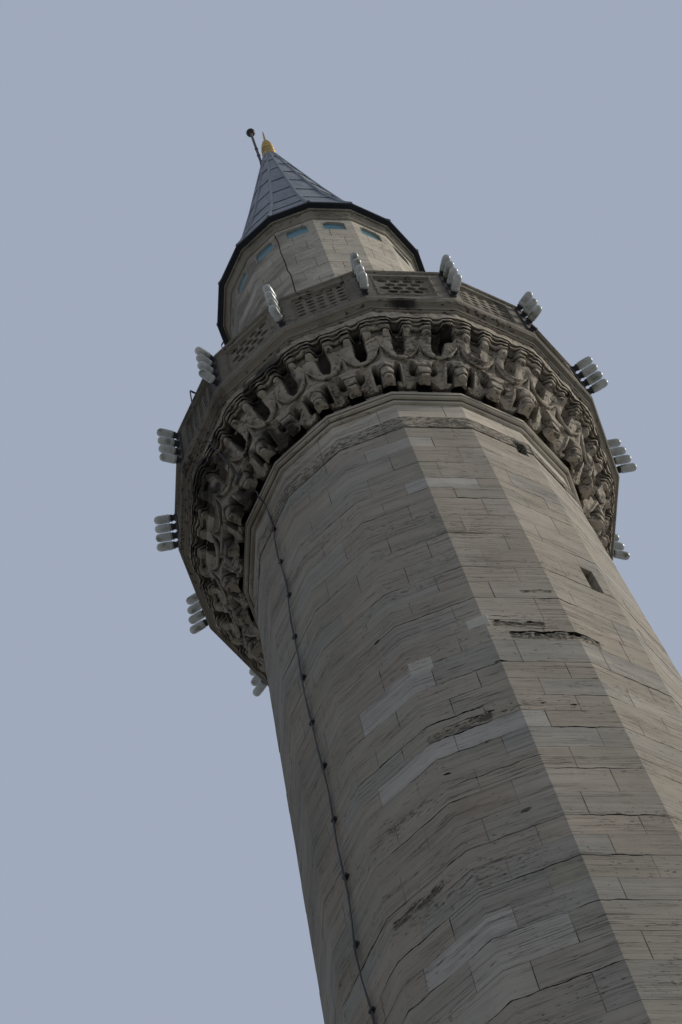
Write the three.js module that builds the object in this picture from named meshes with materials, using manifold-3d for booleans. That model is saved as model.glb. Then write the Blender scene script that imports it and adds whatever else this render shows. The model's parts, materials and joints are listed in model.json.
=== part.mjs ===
// A sixteen-sided stone minaret: one balcony on muqarnas corbelling, a leaded spire and a gilded finial.
// Millimetres, +Z up. The origin is the middle of the underside of the foundation plinth.
// Azimuths are in degrees: 0 looks out along -Y, 90 along +X.
import * as THREE from "three";
import { ConvexGeometry } from "three/addons/geometries/ConvexGeometry.js";
import { mergeVertices } from "three/addons/utils/BufferGeometryUtils.js";
import Module from "manifold-3d";

const wasm = await Module();
wasm.setup();

// Driving dimensions: the plan
const SIDES = 16;
const FACET_ANGLE = 360 / SIDES;
const FIRST_CORNER = FACET_ANGLE / 2;
const TO_APOTHEM = Math.cos(Math.PI / SIDES);
const SEAT_GAP = 0.3;
const OVERCUT = 50;

// Driving dimensions: heights, from the ground up
const PLINTH_TOP = 300;
const BASE_TOP = 5200;
const BASE_CORNICE_TOP = 5500;
const TRANSITION_TOP = 8300;
const FOOT_RING_TOP = 8600;
const SHAFT_JOINTS = [12600, 16600];
const BAND_FOOT = 20595;
const BAND_TOP = 20855;
const RING_FOOT = 21190;
const RING_TOP = 21310;
const TIER_TOPS = [21640, 21980, 22260];
const SLAB_FOOT = 22410;
const SLAB_TOP = 22500;
const RAIL_FOOT = 23290;
const RAIL_TOP = 23400;
const UPPER_WALL_TOP = 28800;
const EAVE_FOOT = 29030;
const EAVE_TOP = 29090;
const SPIRE_TIP = 36950;
const FINIAL_TIP = 38750;

// Driving dimensions: circumradii and wall thicknesses
const PLINTH_HALF = 1700;
const BASE_HALF = 1600;
const BASE_WALL = 700;
const RING_RADIUS = 1171;
const SHAFT_TAPER = 0.0071;
const HOLLOW_RADIUS = 870;
const BALCONY_RADIUS = 1650;
const PARAPET_RADIUS = 1632;
const PARAPET_THICKNESS = 110;
const UPPER_RADIUS = 915;
const UPPER_HOLLOW_RADIUS = 735;
const STAIRWELL_RADIUS = 450;
const EAVE_RADIUS = 1035;
const SPIRE_TIP_RADIUS = 75;
const SPIRE_SHELL = 90;

// Driving dimensions: muqarnas tiers, as rises above each tier's foot and radii over a pendant and in a niche
const LOWER_TIER = [
  { rise: 0, pendant: 1222, niche: 1222 },
  { rise: 120, pendant: 1246, niche: 1226 },
  { rise: 145, pendant: 1330, niche: 1228 },
  { rise: 280, pendant: 1368, niche: 1262 },
  { rise: 330, pendant: 1375, niche: 1348 },
];
const MIDDLE_TIER = [
  { rise: 0, pendant: 1372, niche: 1345 },
  { rise: 50, pendant: 1405, niche: 1352 },
  { rise: 200, pendant: 1448, niche: 1372 },
  { rise: 290, pendant: 1472, niche: 1410 },
  { rise: 340, pendant: 1480, niche: 1470 },
];
const UPPER_TIER = [
  { rise: 0, pendant: 1470, niche: 1466 },
  { rise: 70, pendant: 1530, niche: 1470 },
  { rise: 220, pendant: 1570, niche: 1490 },
  { rise: 280, pendant: 1580, niche: 1575 },
];

// Driving dimensions: doorways and slit windows
const ENTRANCE = { width: 750, height: 1900, leaf: 60 };
const BALCONY_DOOR = { width: 520, height: 1650, leaf: 50 };
const SLIT_WIDTH = 80;
const SLIT_HEIGHT = 420;
const SLITS = [
  { azimuth: 51, foot: 17540 },
  { azimuth: 180, foot: 14400 },
  { azimuth: 180, foot: 10300 },
];
const NECK_VENT = { azimuth: 52, foot: BAND_FOOT - 110, height: 280 };

// Driving dimensions: lamps on the parapet corners
const LAMPS_PER_COLUMN = 4;
const LAMP_SPACING = 225;
const LAMP_FIRST = SLAB_TOP + 70;
const LAMP_LENGTH = 165;
const JAR_RADIUS = 33;
const SOCKET_RADIUS = 24;

const group = new THREE.Group();

const STONE = { color: 0x9a9184, roughness: 0.9, metalness: 0 };
const LEAD = { color: 0x6f7884, roughness: 0.6, metalness: 0.4 };
const GOLD = { color: 0xc79a35, roughness: 0.3, metalness: 1 };
const IRON = { color: 0x26262a, roughness: 0.6, metalness: 0.6 };
const WOOD = { color: 0x5b4330, roughness: 0.8, metalness: 0 };

// Adds one finished sub-part to the minaret.
function place(name, geometry, look) {
  const mesh = new THREE.Mesh(geometry, new THREE.MeshStandardMaterial(look));
  mesh.name = name;
  group.add(mesh);
}

const radians = (degrees) => (degrees * Math.PI) / 180;

// A point at an azimuth, a radius and a height.
function polar(azimuth, radius, z) {
  return new THREE.Vector3(radius * Math.sin(radians(azimuth)), -radius * Math.cos(radians(azimuth)), z);
}

// A closed mesh as a solid for cutting and joining.
function solid(geometry) {
  const bare = geometry.clone();
  bare.deleteAttribute("normal");
  bare.deleteAttribute("uv");
  const merged = mergeVertices(bare, 1e-3);
  const triVerts = new Uint32Array(merged.index.array);
  return new wasm.Manifold(
    new wasm.Mesh({ numProp: 3, vertProperties: merged.attributes.position.array, triVerts }),
  );
}

// A solid back as a mesh.
function geometryOf(made) {
  const mesh = made.getMesh();
  const geometry = new THREE.BufferGeometry();
  geometry.setAttribute("position", new THREE.BufferAttribute(mesh.vertProperties, 3));
  geometry.setIndex(new THREE.BufferAttribute(mesh.triVerts, 1));
  geometry.computeVertexNormals();
  return geometry;
}

const joined = (solids) => solids.reduce((all, one) => all.add(one));

// A profile of [radius, height] points turned about the vertical axis, with one facet for each side.
function turned(profile, segments = SIDES, firstCorner = FIRST_CORNER) {
  const points = profile.map(([radius, z]) => new THREE.Vector2(radius, z));
  const geometry = new THREE.LatheGeometry(points, segments, radians(firstCorner));
  return geometry.rotateX(Math.PI / 2);
}

// A sixteen-sided ring: outer profile from the foot up, with a straight hollow inside.
function ring(outer, hollow) {
  const foot = outer[0][1];
  const top = outer[outer.length - 1][1];
  return turned([...outer, [hollow, top], [hollow, foot], outer[0]]);
}

// A box given by its size and the middle of its foot, then turned to an azimuth at a distance from the axis.
function block(width, depth, height, azimuth, distance, foot) {
  const geometry = new THREE.BoxGeometry(width, depth, height);
  geometry.translate(0, -distance, foot + height / 2);
  return geometry.rotateZ(radians(azimuth));
}

const shaftRadius = (z) => RING_RADIUS + SHAFT_TAPER * (RING_FOOT - z);

// Foundation plinth and pedestal walls, with the entrance doorway in the far wall
place(
  "foundation_plinth",
  block(2 * PLINTH_HALF, 2 * PLINTH_HALF, PLINTH_TOP, 0, 0, 0),
  STONE,
);
const wallHeight = BASE_TOP - PLINTH_TOP;
const wallMiddle = BASE_HALF - BASE_WALL / 2;
const sideWallLength = 2 * (BASE_HALF - BASE_WALL) - 2 * SEAT_GAP;
place("base_wall_front", block(2 * BASE_HALF, BASE_WALL, wallHeight, 0, wallMiddle, PLINTH_TOP), STONE);
place("base_wall_left", block(sideWallLength, BASE_WALL, wallHeight, -90, wallMiddle, PLINTH_TOP), STONE);
place("base_wall_right", block(sideWallLength, BASE_WALL, wallHeight, 90, wallMiddle, PLINTH_TOP), STONE);
const backWall = solid(block(2 * BASE_HALF, BASE_WALL, wallHeight, 180, wallMiddle, PLINTH_TOP));
const entranceCut = solid(
  block(
    ENTRANCE.width,
    BASE_WALL + 2 * OVERCUT,
    ENTRANCE.height + OVERCUT,
    180,
    wallMiddle,
    PLINTH_TOP - OVERCUT,
  ),
);
place("base_wall_back", geometryOf(backWall.subtract(entranceCut)), STONE);
place(
  "entrance_door",
  block(
    ENTRANCE.width - 2 * SEAT_GAP,
    ENTRANCE.leaf,
    ENTRANCE.height - SEAT_GAP,
    180,
    BASE_HALF - 250,
    PLINTH_TOP,
  ),
  WOOD,
);

// Pedestal cornice: a square moulded course, open in the middle
const baseCornice = joined([
  solid(block(2 * BASE_HALF + 60, 2 * BASE_HALF + 60, 100, 0, 0, BASE_TOP)),
  solid(block(2 * BASE_HALF + 160, 2 * BASE_HALF + 160, 120, 0, 0, BASE_TOP + 90)),
  solid(block(2 * BASE_HALF + 40, 2 * BASE_HALF + 40, 100, 0, 0, BASE_CORNICE_TOP - 100)),
]);
const hollowSide = 2 * (BASE_HALF - BASE_WALL);
const corniceHollow = solid(
  block(hollowSide, hollowSide, BASE_CORNICE_TOP - BASE_TOP + 2 * OVERCUT, 0, 0, BASE_TOP - OVERCUT),
);
place("base_cornice", geometryOf(baseCornice.subtract(corniceHollow)), STONE);

// Transition: the square pedestal becomes the sixteen-sided shaft by triangular facets
const hollowCore = solid(
  turned([
    [0, BASE_TOP],
    [HOLLOW_RADIUS, BASE_TOP],
    [HOLLOW_RADIUS, SLAB_TOP],
    [0, SLAB_TOP],
  ]),
);
const transitionPoints = [];
const SLOPE_FOOT = BASE_CORNICE_TOP + 180;
const slopeTopRadius = shaftRadius(TRANSITION_TOP) + 40;
for (const x of [-1, 1]) {
  for (const y of [-1, 1]) {
    transitionPoints.push(new THREE.Vector3(x * BASE_HALF, y * BASE_HALF, BASE_CORNICE_TOP));
    transitionPoints.push(new THREE.Vector3(x * BASE_HALF, y * BASE_HALF, SLOPE_FOOT));
  }
}
for (let corner = 0; corner < SIDES; corner++) {
  transitionPoints.push(polar(FIRST_CORNER + corner * FACET_ANGLE, slopeTopRadius, TRANSITION_TOP));
}
const transition = solid(new ConvexGeometry(transitionPoints)).subtract(hollowCore);
place("transition", geometryOf(transition), STONE);

// Foot ring: a roll moulding between transition and shaft
const footRadius = shaftRadius(FOOT_RING_TOP);
place(
  "foot_ring",
  ring(
    [
      [footRadius + 50, TRANSITION_TOP],
      [footRadius + 95, TRANSITION_TOP + 60],
      [footRadius + 110, TRANSITION_TOP + 130],
      [footRadius + 95, TRANSITION_TOP + 200],
      [footRadius + 30, TRANSITION_TOP + 250],
      [footRadius + 20, FOOT_RING_TOP],
    ],
    HOLLOW_RADIUS,
  ),
  STONE,
);

// Shaft: three tapering lengths of ashlar, a rough band course and a smooth neck course under the ring
function slitCut(azimuth, foot, height) {
  return solid(block(SLIT_WIDTH, 800, height, azimuth, (HOLLOW_RADIUS + RING_RADIUS) / 2, foot));
}
const slitCuts = joined([
  ...SLITS.map((slit) => slitCut(slit.azimuth, slit.foot, SLIT_HEIGHT)),
  slitCut(NECK_VENT.azimuth, NECK_VENT.foot, NECK_VENT.height),
]);
function shaftLength(foot, top, proud = 0) {
  const outer = [
    [shaftRadius(foot) + proud, foot],
    [shaftRadius(top) + proud, top],
  ];
  return geometryOf(solid(ring(outer, HOLLOW_RADIUS)).subtract(slitCuts));
}
const shaftLevels = [FOOT_RING_TOP, ...SHAFT_JOINTS, BAND_FOOT];
["shaft_lower", "shaft_middle", "shaft_upper"].forEach((name, i) => {
  place(name, shaftLength(shaftLevels[i], shaftLevels[i + 1]), STONE);
});
place("rough_band_course", shaftLength(BAND_FOOT, BAND_TOP, 6), STONE);
place("neck_course", shaftLength(BAND_TOP, RING_FOOT), STONE);

// Ring moulding: three fillets that step out under the corbelling
place(
  "ring_moulding",
  ring(
    [
      [RING_RADIUS + 8, RING_FOOT],
      [RING_RADIUS + 22, RING_FOOT + 12],
      [RING_RADIUS + 22, RING_FOOT + 40],
      [RING_RADIUS + 42, RING_FOOT + 52],
      [RING_RADIUS + 42, RING_FOOT + 78],
      [RING_RADIUS + 64, RING_FOOT + 90],
      [RING_RADIUS + 64, RING_TOP],
    ],
    HOLLOW_RADIUS,
  ),
  STONE,
);

// Muqarnas: each tier is a ring whose outline swings between pendants and niches, two of each to a facet
const CELLS = 2 * SIDES;
const CELL_ANGLE = 360 / CELLS;
const CELL_STOPS = [0.18, 0.38, 0.62, 0.82];

// The circumradius of a regular polygon as seen along an azimuth.
function polygonShare(azimuth) {
  const pastCorner = (((azimuth + FIRST_CORNER) % FACET_ANGLE) + FACET_ANGLE) % FACET_ANGLE;
  const fromFacet = pastCorner - FACET_ANGLE / 2;
  return TO_APOTHEM / Math.cos(radians(fromFacet));
}

// A level gives the radii over a pendant and in a niche; a half-cell shift staggers the tiers.
function muqarnasTier(foot, levels, shift) {
  const outlines = levels.map(({ rise, pendant, niche }) => {
    const z = foot + rise;
    const outline = [];
    for (let cell = 0; cell < CELLS; cell++) {
      for (const stop of CELL_STOPS) {
        const azimuth = (cell + stop + shift) * CELL_ANGLE + FIRST_CORNER;
        const onPendant = stop < 0.3 || stop > 0.7;
        outline.push(polar(azimuth, (onPendant ? pendant : niche) * polygonShare(azimuth), z));
      }
    }
    return outline;
  });
  return geometryOf(loft(outlines).subtract(hollowCore));
}

const middleOf = (outline) =>
  outline.reduce((sum, point) => sum.add(point), new THREE.Vector3()).divideScalar(outline.length);

// A solid through closed outlines stacked from the foot up, all with the same number of points.
function loft(outlines) {
  const count = outlines[0].length;
  const points = outlines.flat();
  const faces = [];
  for (let level = 0; level + 1 < outlines.length; level++) {
    for (let i = 0; i < count; i++) {
      const next = (i + 1) % count;
      const a = level * count + i;
      const b = level * count + next;
      faces.push(a, b, b + count, a, b + count, a + count);
    }
  }
  const foot = points.length;
  const top = foot + 1;
  points.push(middleOf(outlines[0]), middleOf(outlines[outlines.length - 1]));
  const topRow = (outlines.length - 1) * count;
  for (let i = 0; i < count; i++) {
    const next = (i + 1) % count;
    faces.push(foot, next, i, top, topRow + i, topRow + next);
  }
  const geometry = new THREE.BufferGeometry().setFromPoints(points);
  geometry.setIndex(faces);
  return solid(geometry);
}
place(
  "muqarnas_lower_tier",
  muqarnasTier(RING_TOP, LOWER_TIER, 0),
  STONE,
);
place(
  "muqarnas_middle_tier",
  muqarnasTier(TIER_TOPS[0], MIDDLE_TIER, 0.5),
  STONE,
);
place(
  "muqarnas_upper_tier",
  muqarnasTier(TIER_TOPS[1], UPPER_TIER, 0),
  STONE,
);

// Cornice under the balcony: fillet and cavetto
place(
  "balcony_cornice",
  ring(
    [
      [BALCONY_RADIUS - 70, TIER_TOPS[2]],
      [BALCONY_RADIUS - 55, TIER_TOPS[2] + 30],
      [BALCONY_RADIUS - 55, TIER_TOPS[2] + 50],
      [BALCONY_RADIUS - 48, TIER_TOPS[2] + 90],
      [BALCONY_RADIUS - 25, SLAB_FOOT - 25],
      [BALCONY_RADIUS - 4, SLAB_FOOT],
    ],
    HOLLOW_RADIUS,
  ),
  STONE,
);

// Balcony floor: one slab across the tower, with the stairwell in its middle
place(
  "balcony_floor",
  ring(
    [
      [BALCONY_RADIUS, SLAB_FOOT],
      [BALCONY_RADIUS, SLAB_TOP],
    ],
    STAIRWELL_RADIUS,
  ),
  STONE,
);

// Parapet: sixteen pierced panels, one to a facet, under a moulded rail
const PANEL_HEIGHT = RAIL_FOOT - SLAB_TOP;
const LATTICE_WIDTH = 380;
const LATTICE_FOOT = 130;
const LATTICE_HEIGHT = 560;
const UPRIGHT_BAR = 24;
const CROSS_BAR = 36;

// Openings of a panel as closed outlines, measured from the middle of its foot.
function slotOutlines() {
  const outlines = [];
  const columns = 5;
  const rows = 6;
  const width = (LATTICE_WIDTH - (columns - 1) * UPRIGHT_BAR) / columns;
  const height = (LATTICE_HEIGHT - (rows - 1) * CROSS_BAR) / rows;
  for (let column = 0; column < columns; column++) {
    for (let row = 0; row < rows; row++) {
      const x = -LATTICE_WIDTH / 2 + column * (width + UPRIGHT_BAR);
      const y = LATTICE_FOOT + row * (height + CROSS_BAR);
      outlines.push([
        [x, y],
        [x + width, y],
        [x + width, y + height],
        [x, y + height],
      ]);
    }
  }
  return outlines;
}

function hexagonOutlines() {
  const outlines = [];
  const radius = 52;
  const mostInRow = 4;
  const rows = 5;
  const stepX = LATTICE_WIDTH / mostInRow;
  const stepY = (LATTICE_HEIGHT - 2 * radius) / (rows - 1);
  for (let row = 0; row < rows; row++) {
    const count = mostInRow - (row % 2);
    for (let i = 0; i < count; i++) {
      const x = (i - (count - 1) / 2) * stepX;
      const y = LATTICE_FOOT + radius + row * stepY;
      const outline = [];
      for (let corner = 0; corner < 6; corner++) {
        const angle = radians(60 * corner + 30);
        outline.push([x + radius * 0.8 * Math.cos(angle), y + radius * Math.sin(angle)]);
      }
      outlines.push(outline);
    }
  }
  return outlines;
}

function parapetPanel(azimuth, outlines) {
  const half = PARAPET_RADIUS * Math.sin(Math.PI / SIDES);
  const inner = half - PARAPET_THICKNESS * Math.tan(Math.PI / SIDES);
  const distance = PARAPET_RADIUS * TO_APOTHEM;
  const plan = new THREE.Shape();
  plan.moveTo(-half + SEAT_GAP, -distance);
  plan.lineTo(half - SEAT_GAP, -distance);
  plan.lineTo(inner - SEAT_GAP, -distance + PARAPET_THICKNESS);
  plan.lineTo(-inner + SEAT_GAP, -distance + PARAPET_THICKNESS);
  plan.closePath();
  const slab = new THREE.ExtrudeGeometry(plan, { depth: PANEL_HEIGHT, bevelEnabled: false });
  slab.translate(0, 0, SLAB_TOP);
  const holes = outlines.map((outline) => {
    const shape = new THREE.Shape(outline.map(([x, y]) => new THREE.Vector2(x, y)));
    const depth = PARAPET_THICKNESS + 2 * OVERCUT;
    const hole = new THREE.ExtrudeGeometry(shape, { depth, bevelEnabled: false });
    hole.rotateX(Math.PI / 2);
    hole.translate(0, -distance + PARAPET_THICKNESS + OVERCUT, SLAB_TOP);
    return solid(hole);
  });
  const panel = geometryOf(solid(slab).subtract(joined(holes)));
  return panel.rotateZ(radians(azimuth));
}
for (let facet = 0; facet < SIDES; facet++) {
  const azimuth = facet * FACET_ANGLE;
  const outlines = facet % 2 ? hexagonOutlines() : slotOutlines();
  const number = String(facet + 1).padStart(2, "0");
  place("parapet_panel_" + number, parapetPanel(azimuth, outlines), STONE);
}
const railHollow = PARAPET_RADIUS - PARAPET_THICKNESS - 14;
place(
  "parapet_rail",
  ring(
    [
      [PARAPET_RADIUS + 4, RAIL_FOOT],
      [PARAPET_RADIUS + 16, RAIL_FOOT + 30],
      [PARAPET_RADIUS + 16, RAIL_FOOT + 60],
      [PARAPET_RADIUS - 6, RAIL_FOOT + 90],
      [PARAPET_RADIUS - 26, RAIL_TOP],
    ],
    railHollow,
  ),
  STONE,
);

// Lamps: at each corner a batten carries four jars, and a conduit on the slab joins a quarter's battens
const BATTEN_WIDTH = 40;
const BATTEN_DEPTH = 12;
const CONDUIT_HEIGHT = 14;
const battenFace = PARAPET_RADIUS + SEAT_GAP + BATTEN_DEPTH;
function lamp(azimuth, z) {
  const profile = [
    [0, -BATTEN_DEPTH / 2],
    [SOCKET_RADIUS, -BATTEN_DEPTH / 2],
    [JAR_RADIUS, 50],
    [JAR_RADIUS, LAMP_LENGTH - 25],
    [0, LAMP_LENGTH],
  ];
  const geometry = turned(profile, 6, 0);
  geometry.rotateX(Math.PI / 2);
  geometry.translate(0, -battenFace, z);
  return geometry.rotateZ(radians(azimuth));
}
const conduitRing = solid(
  ring(
    [
      [PARAPET_RADIUS + 15, SLAB_TOP],
      [PARAPET_RADIUS + 15, SLAB_TOP + CONDUIT_HEIGHT],
    ],
    PARAPET_RADIUS + 2,
  ),
);
const columnsPerQuarter = SIDES / 4;
["front", "right", "back", "left"].forEach((quarter, index) => {
  const middle = (index * 360) / 4;
  const reach = ((columnsPerQuarter - 1) / 2) * FACET_ANGLE;
  const sector = [new THREE.Vector3(0, 0, SLAB_TOP - 50), new THREE.Vector3(0, 0, SLAB_TOP + 50)];
  for (const z of [SLAB_TOP - 50, SLAB_TOP + 50]) {
    for (const share of [-1, 0, 1]) {
      sector.push(polar(middle + share * reach, 2 * BALCONY_RADIUS, z));
    }
  }
  const pieces = [conduitRing.intersect(solid(new ConvexGeometry(sector)))];
  for (let column = 0; column < columnsPerQuarter; column++) {
    const azimuth = middle - reach + column * FACET_ANGLE;
    const height = LAMP_FIRST + (LAMPS_PER_COLUMN - 1) * LAMP_SPACING + 35 - SLAB_TOP;
    const middleOfBatten = battenFace - BATTEN_DEPTH / 2;
    pieces.push(solid(block(BATTEN_WIDTH, BATTEN_DEPTH, height, azimuth, middleOfBatten, SLAB_TOP)));
    for (let i = 0; i < LAMPS_PER_COLUMN; i++) {
      pieces.push(solid(lamp(azimuth, LAMP_FIRST + i * LAMP_SPACING)));
    }
  }
  place("lamp_columns_" + quarter, geometryOf(joined(pieces)), IRON);
});

// Upper shaft above the balcony, with the balcony doorway on the far side
const upperShaft = solid(
  ring(
    [
      [UPPER_RADIUS + 12, SLAB_TOP],
      [UPPER_RADIUS, UPPER_WALL_TOP],
    ],
    UPPER_HOLLOW_RADIUS,
  ),
);
const UPPER_WALL_REACH = 600;
const balconyDoorCut = solid(
  block(
    BALCONY_DOOR.width,
    UPPER_WALL_REACH,
    BALCONY_DOOR.height + OVERCUT,
    180,
    UPPER_RADIUS,
    SLAB_TOP - OVERCUT,
  ),
);
place("upper_shaft", geometryOf(upperShaft.subtract(balconyDoorCut)), STONE);
place(
  "balcony_door",
  block(
    BALCONY_DOOR.width - 2 * SEAT_GAP,
    BALCONY_DOOR.leaf,
    BALCONY_DOOR.height - SEAT_GAP,
    180,
    UPPER_RADIUS - 130,
    SLAB_TOP,
  ),
  WOOD,
);

// Upper cornice: a stone cavetto under the eave
place(
  "upper_cornice",
  ring(
    [
      [UPPER_RADIUS + 4, UPPER_WALL_TOP],
      [UPPER_RADIUS + 15, UPPER_WALL_TOP + 20],
      [UPPER_RADIUS + 20, UPPER_WALL_TOP + 80],
      [UPPER_RADIUS + 36, UPPER_WALL_TOP + 155],
      [EAVE_RADIUS - 52, EAVE_FOOT],
    ],
    UPPER_HOLLOW_RADIUS,
  ),
  STONE,
);

// Eave: the lead-dressed rim board of the spire
place(
  "lead_eave",
  ring(
    [
      [EAVE_RADIUS - 6, EAVE_FOOT],
      [EAVE_RADIUS, EAVE_FOOT + 10],
      [EAVE_RADIUS, EAVE_TOP - 15],
      [EAVE_RADIUS - 12, EAVE_TOP],
    ],
    UPPER_HOLLOW_RADIUS,
  ),
  LEAD,
);

// Spire: a boarded shell under lead sheet, bell-cast over the eave, with a roll at each corner
const SPIRE_PROFILE = [
  [EAVE_RADIUS - 20, EAVE_TOP],
  [940, 29500],
  [832, 30200],
  [686, 31200],
  [484, 33000],
  [SPIRE_TIP_RADIUS, SPIRE_TIP],
];
const SPIRE_VOID_TOP = 35900;
function spireRadius(z) {
  const above = SPIRE_PROFILE.findIndex((station) => station[1] >= z);
  const [lowRadius, low] = SPIRE_PROFILE[above - 1];
  const [highRadius, high] = SPIRE_PROFILE[above];
  return lowRadius + ((highRadius - lowRadius) * (z - low)) / (high - low);
}
function spireBody(offset) {
  const outer = SPIRE_PROFILE.map(([radius, z]) => [radius + offset, z]);
  return solid(turned([[0, EAVE_TOP], ...outer, [0, SPIRE_TIP]]));
}
const shellInside = SPIRE_PROFILE.slice(0, -1).map(([radius, z]) => [radius - SPIRE_SHELL, z]);
const spireVoid = solid(
  turned([
    [0, EAVE_TOP - OVERCUT],
    [shellInside[0][0], EAVE_TOP - OVERCUT],
    ...shellInside,
    [0, SPIRE_VOID_TOP],
  ]),
);
const ROLL_WIDTH = 44;
const ROLL_HEIGHT = 20;
function roll(azimuth) {
  const stations = [...SPIRE_PROFILE.slice(0, -1), [spireRadius(SPIRE_TIP - 60), SPIRE_TIP - 60]];
  const lengths = [];
  for (let i = 0; i + 1 < stations.length; i++) {
    const points = [];
    for (const [radius, z] of [stations[i], stations[i + 1]]) {
      const share = 1 - (0.5 * (z - EAVE_TOP)) / (SPIRE_TIP - EAVE_TOP);
      const half = ((ROLL_WIDTH / 2) * share * 180) / Math.PI / radius;
      points.push(polar(azimuth, radius + ROLL_HEIGHT * share, z));
      points.push(polar(azimuth - half, radius + ROLL_HEIGHT * 0.5 * share, z));
      points.push(polar(azimuth + half, radius + ROLL_HEIGHT * 0.5 * share, z));
      points.push(polar(azimuth, radius - ROLL_HEIGHT, z));
    }
    lengths.push(solid(new ConvexGeometry(points)));
  }
  return joined(lengths);
}
const rolls = [];
for (let corner = 0; corner < SIDES; corner++) {
  rolls.push(roll(FIRST_CORNER + corner * FACET_ANGLE));
}
place("lead_spire", geometryOf(spireBody(0).add(joined(rolls)).subtract(spireVoid)), LEAD);

// Finial: gilded copper bulbs on a pin, leaning a little to the right
const FINIAL_LEAN = 0.014;
const finial = turned(
  [
    [0, SPIRE_TIP],
    [70, SPIRE_TIP],
    [86, SPIRE_TIP + 90],
    [66, SPIRE_TIP + 185],
    [84, SPIRE_TIP + 280],
    [64, SPIRE_TIP + 375],
    [80, SPIRE_TIP + 465],
    [60, SPIRE_TIP + 560],
    [73, SPIRE_TIP + 645],
    [52, SPIRE_TIP + 735],
    [63, SPIRE_TIP + 815],
    [40, SPIRE_TIP + 905],
    [46, SPIRE_TIP + 965],
    [18, SPIRE_TIP + 1060],
    [14, SPIRE_TIP + 1500],
    [0, FINIAL_TIP],
  ],
  12,
);
finial.applyMatrix4(
  new THREE.Matrix4().set(1, 0, FINIAL_LEAN, -FINIAL_LEAN * SPIRE_TIP, 0, 1, 0, 0, 0, 0, 1, 0, 0, 0, 0, 1),
);
place("finial", finial, GOLD);

// A round bar bent through a list of points.
function bar(points, radius, sides) {
  const across = new THREE.Vector3(0, 1, 0);
  const outlines = points.map((point, i) => {
    const before = points[Math.max(i - 1, 0)];
    const after = points[Math.min(i + 1, points.length - 1)];
    const inward = point.clone().sub(before).normalize();
    const onward = after.clone().sub(point).normalize();
    const along = inward.add(onward).normalize();
    across.addScaledVector(along, -across.dot(along)).normalize();
    const upright = along.clone().cross(across);
    const outline = [];
    for (let side = 0; side < sides; side++) {
      const angle = radians((360 * side) / sides);
      const around = across.clone().multiplyScalar(radius * Math.cos(angle));
      around.addScaledVector(upright, radius * Math.sin(angle));
      outline.push(point.clone().add(around));
    }
    return outline;
  });
  return loft(outlines);
}

// Lightning rod: an iron rod beside the finial, with a ball head, strapped to the tip of the spire
const ROD_AZIMUTH = -90;
const ROD_DISTANCE = 120;
const ROD_RADIUS = 18;
const ROD_FOOT = SPIRE_TIP - 200;
const ROD_HEAD = 38965;
const HEAD_RADIUS = 61;
const rodHead = new THREE.SphereGeometry(HEAD_RADIUS, 12, 8);
rodHead.rotateX(Math.PI / 2);
rodHead.translate(...polar(ROD_AZIMUTH, ROD_DISTANCE, ROD_HEAD).toArray());
const STRAP = { width: 12, reach: 90, height: 60 };
const rodStrap = solid(
  block(STRAP.width, STRAP.reach, STRAP.height, ROD_AZIMUTH, ROD_DISTANCE - STRAP.reach / 3, ROD_FOOT),
).subtract(spireBody(SEAT_GAP));
place(
  "lightning_rod",
  geometryOf(
    joined([
      bar([ROD_FOOT, ROD_HEAD].map((z) => polar(ROD_AZIMUTH, ROD_DISTANCE, z)), ROD_RADIUS, 8),
      solid(rodHead),
      rodStrap,
    ]),
  ),
  IRON,
);

// Down conductor: from the rod over spire, balcony and shaft to the plinth, held off the stone by clips
const LEAD_RADIUS = 8;
const STAND_OFF = 18;
const LEAD_AZIMUTH = -45;
const onSpire = (z) => spireRadius(z) * TO_APOTHEM + STAND_OFF;
const onShaft = (z) => shaftRadius(z) * TO_APOTHEM + STAND_OFF;
const LEAD_ON_BASE = -1440;
const CLEAR_OF_RAIL = PARAPET_RADIUS + 22;
const BEFORE_PENDANTS = [
  [1400, TIER_TOPS[0]],
  [1330, RING_TOP + 130],
  [1236, RING_TOP - 20],
  [1232, RING_FOOT],
];
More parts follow.
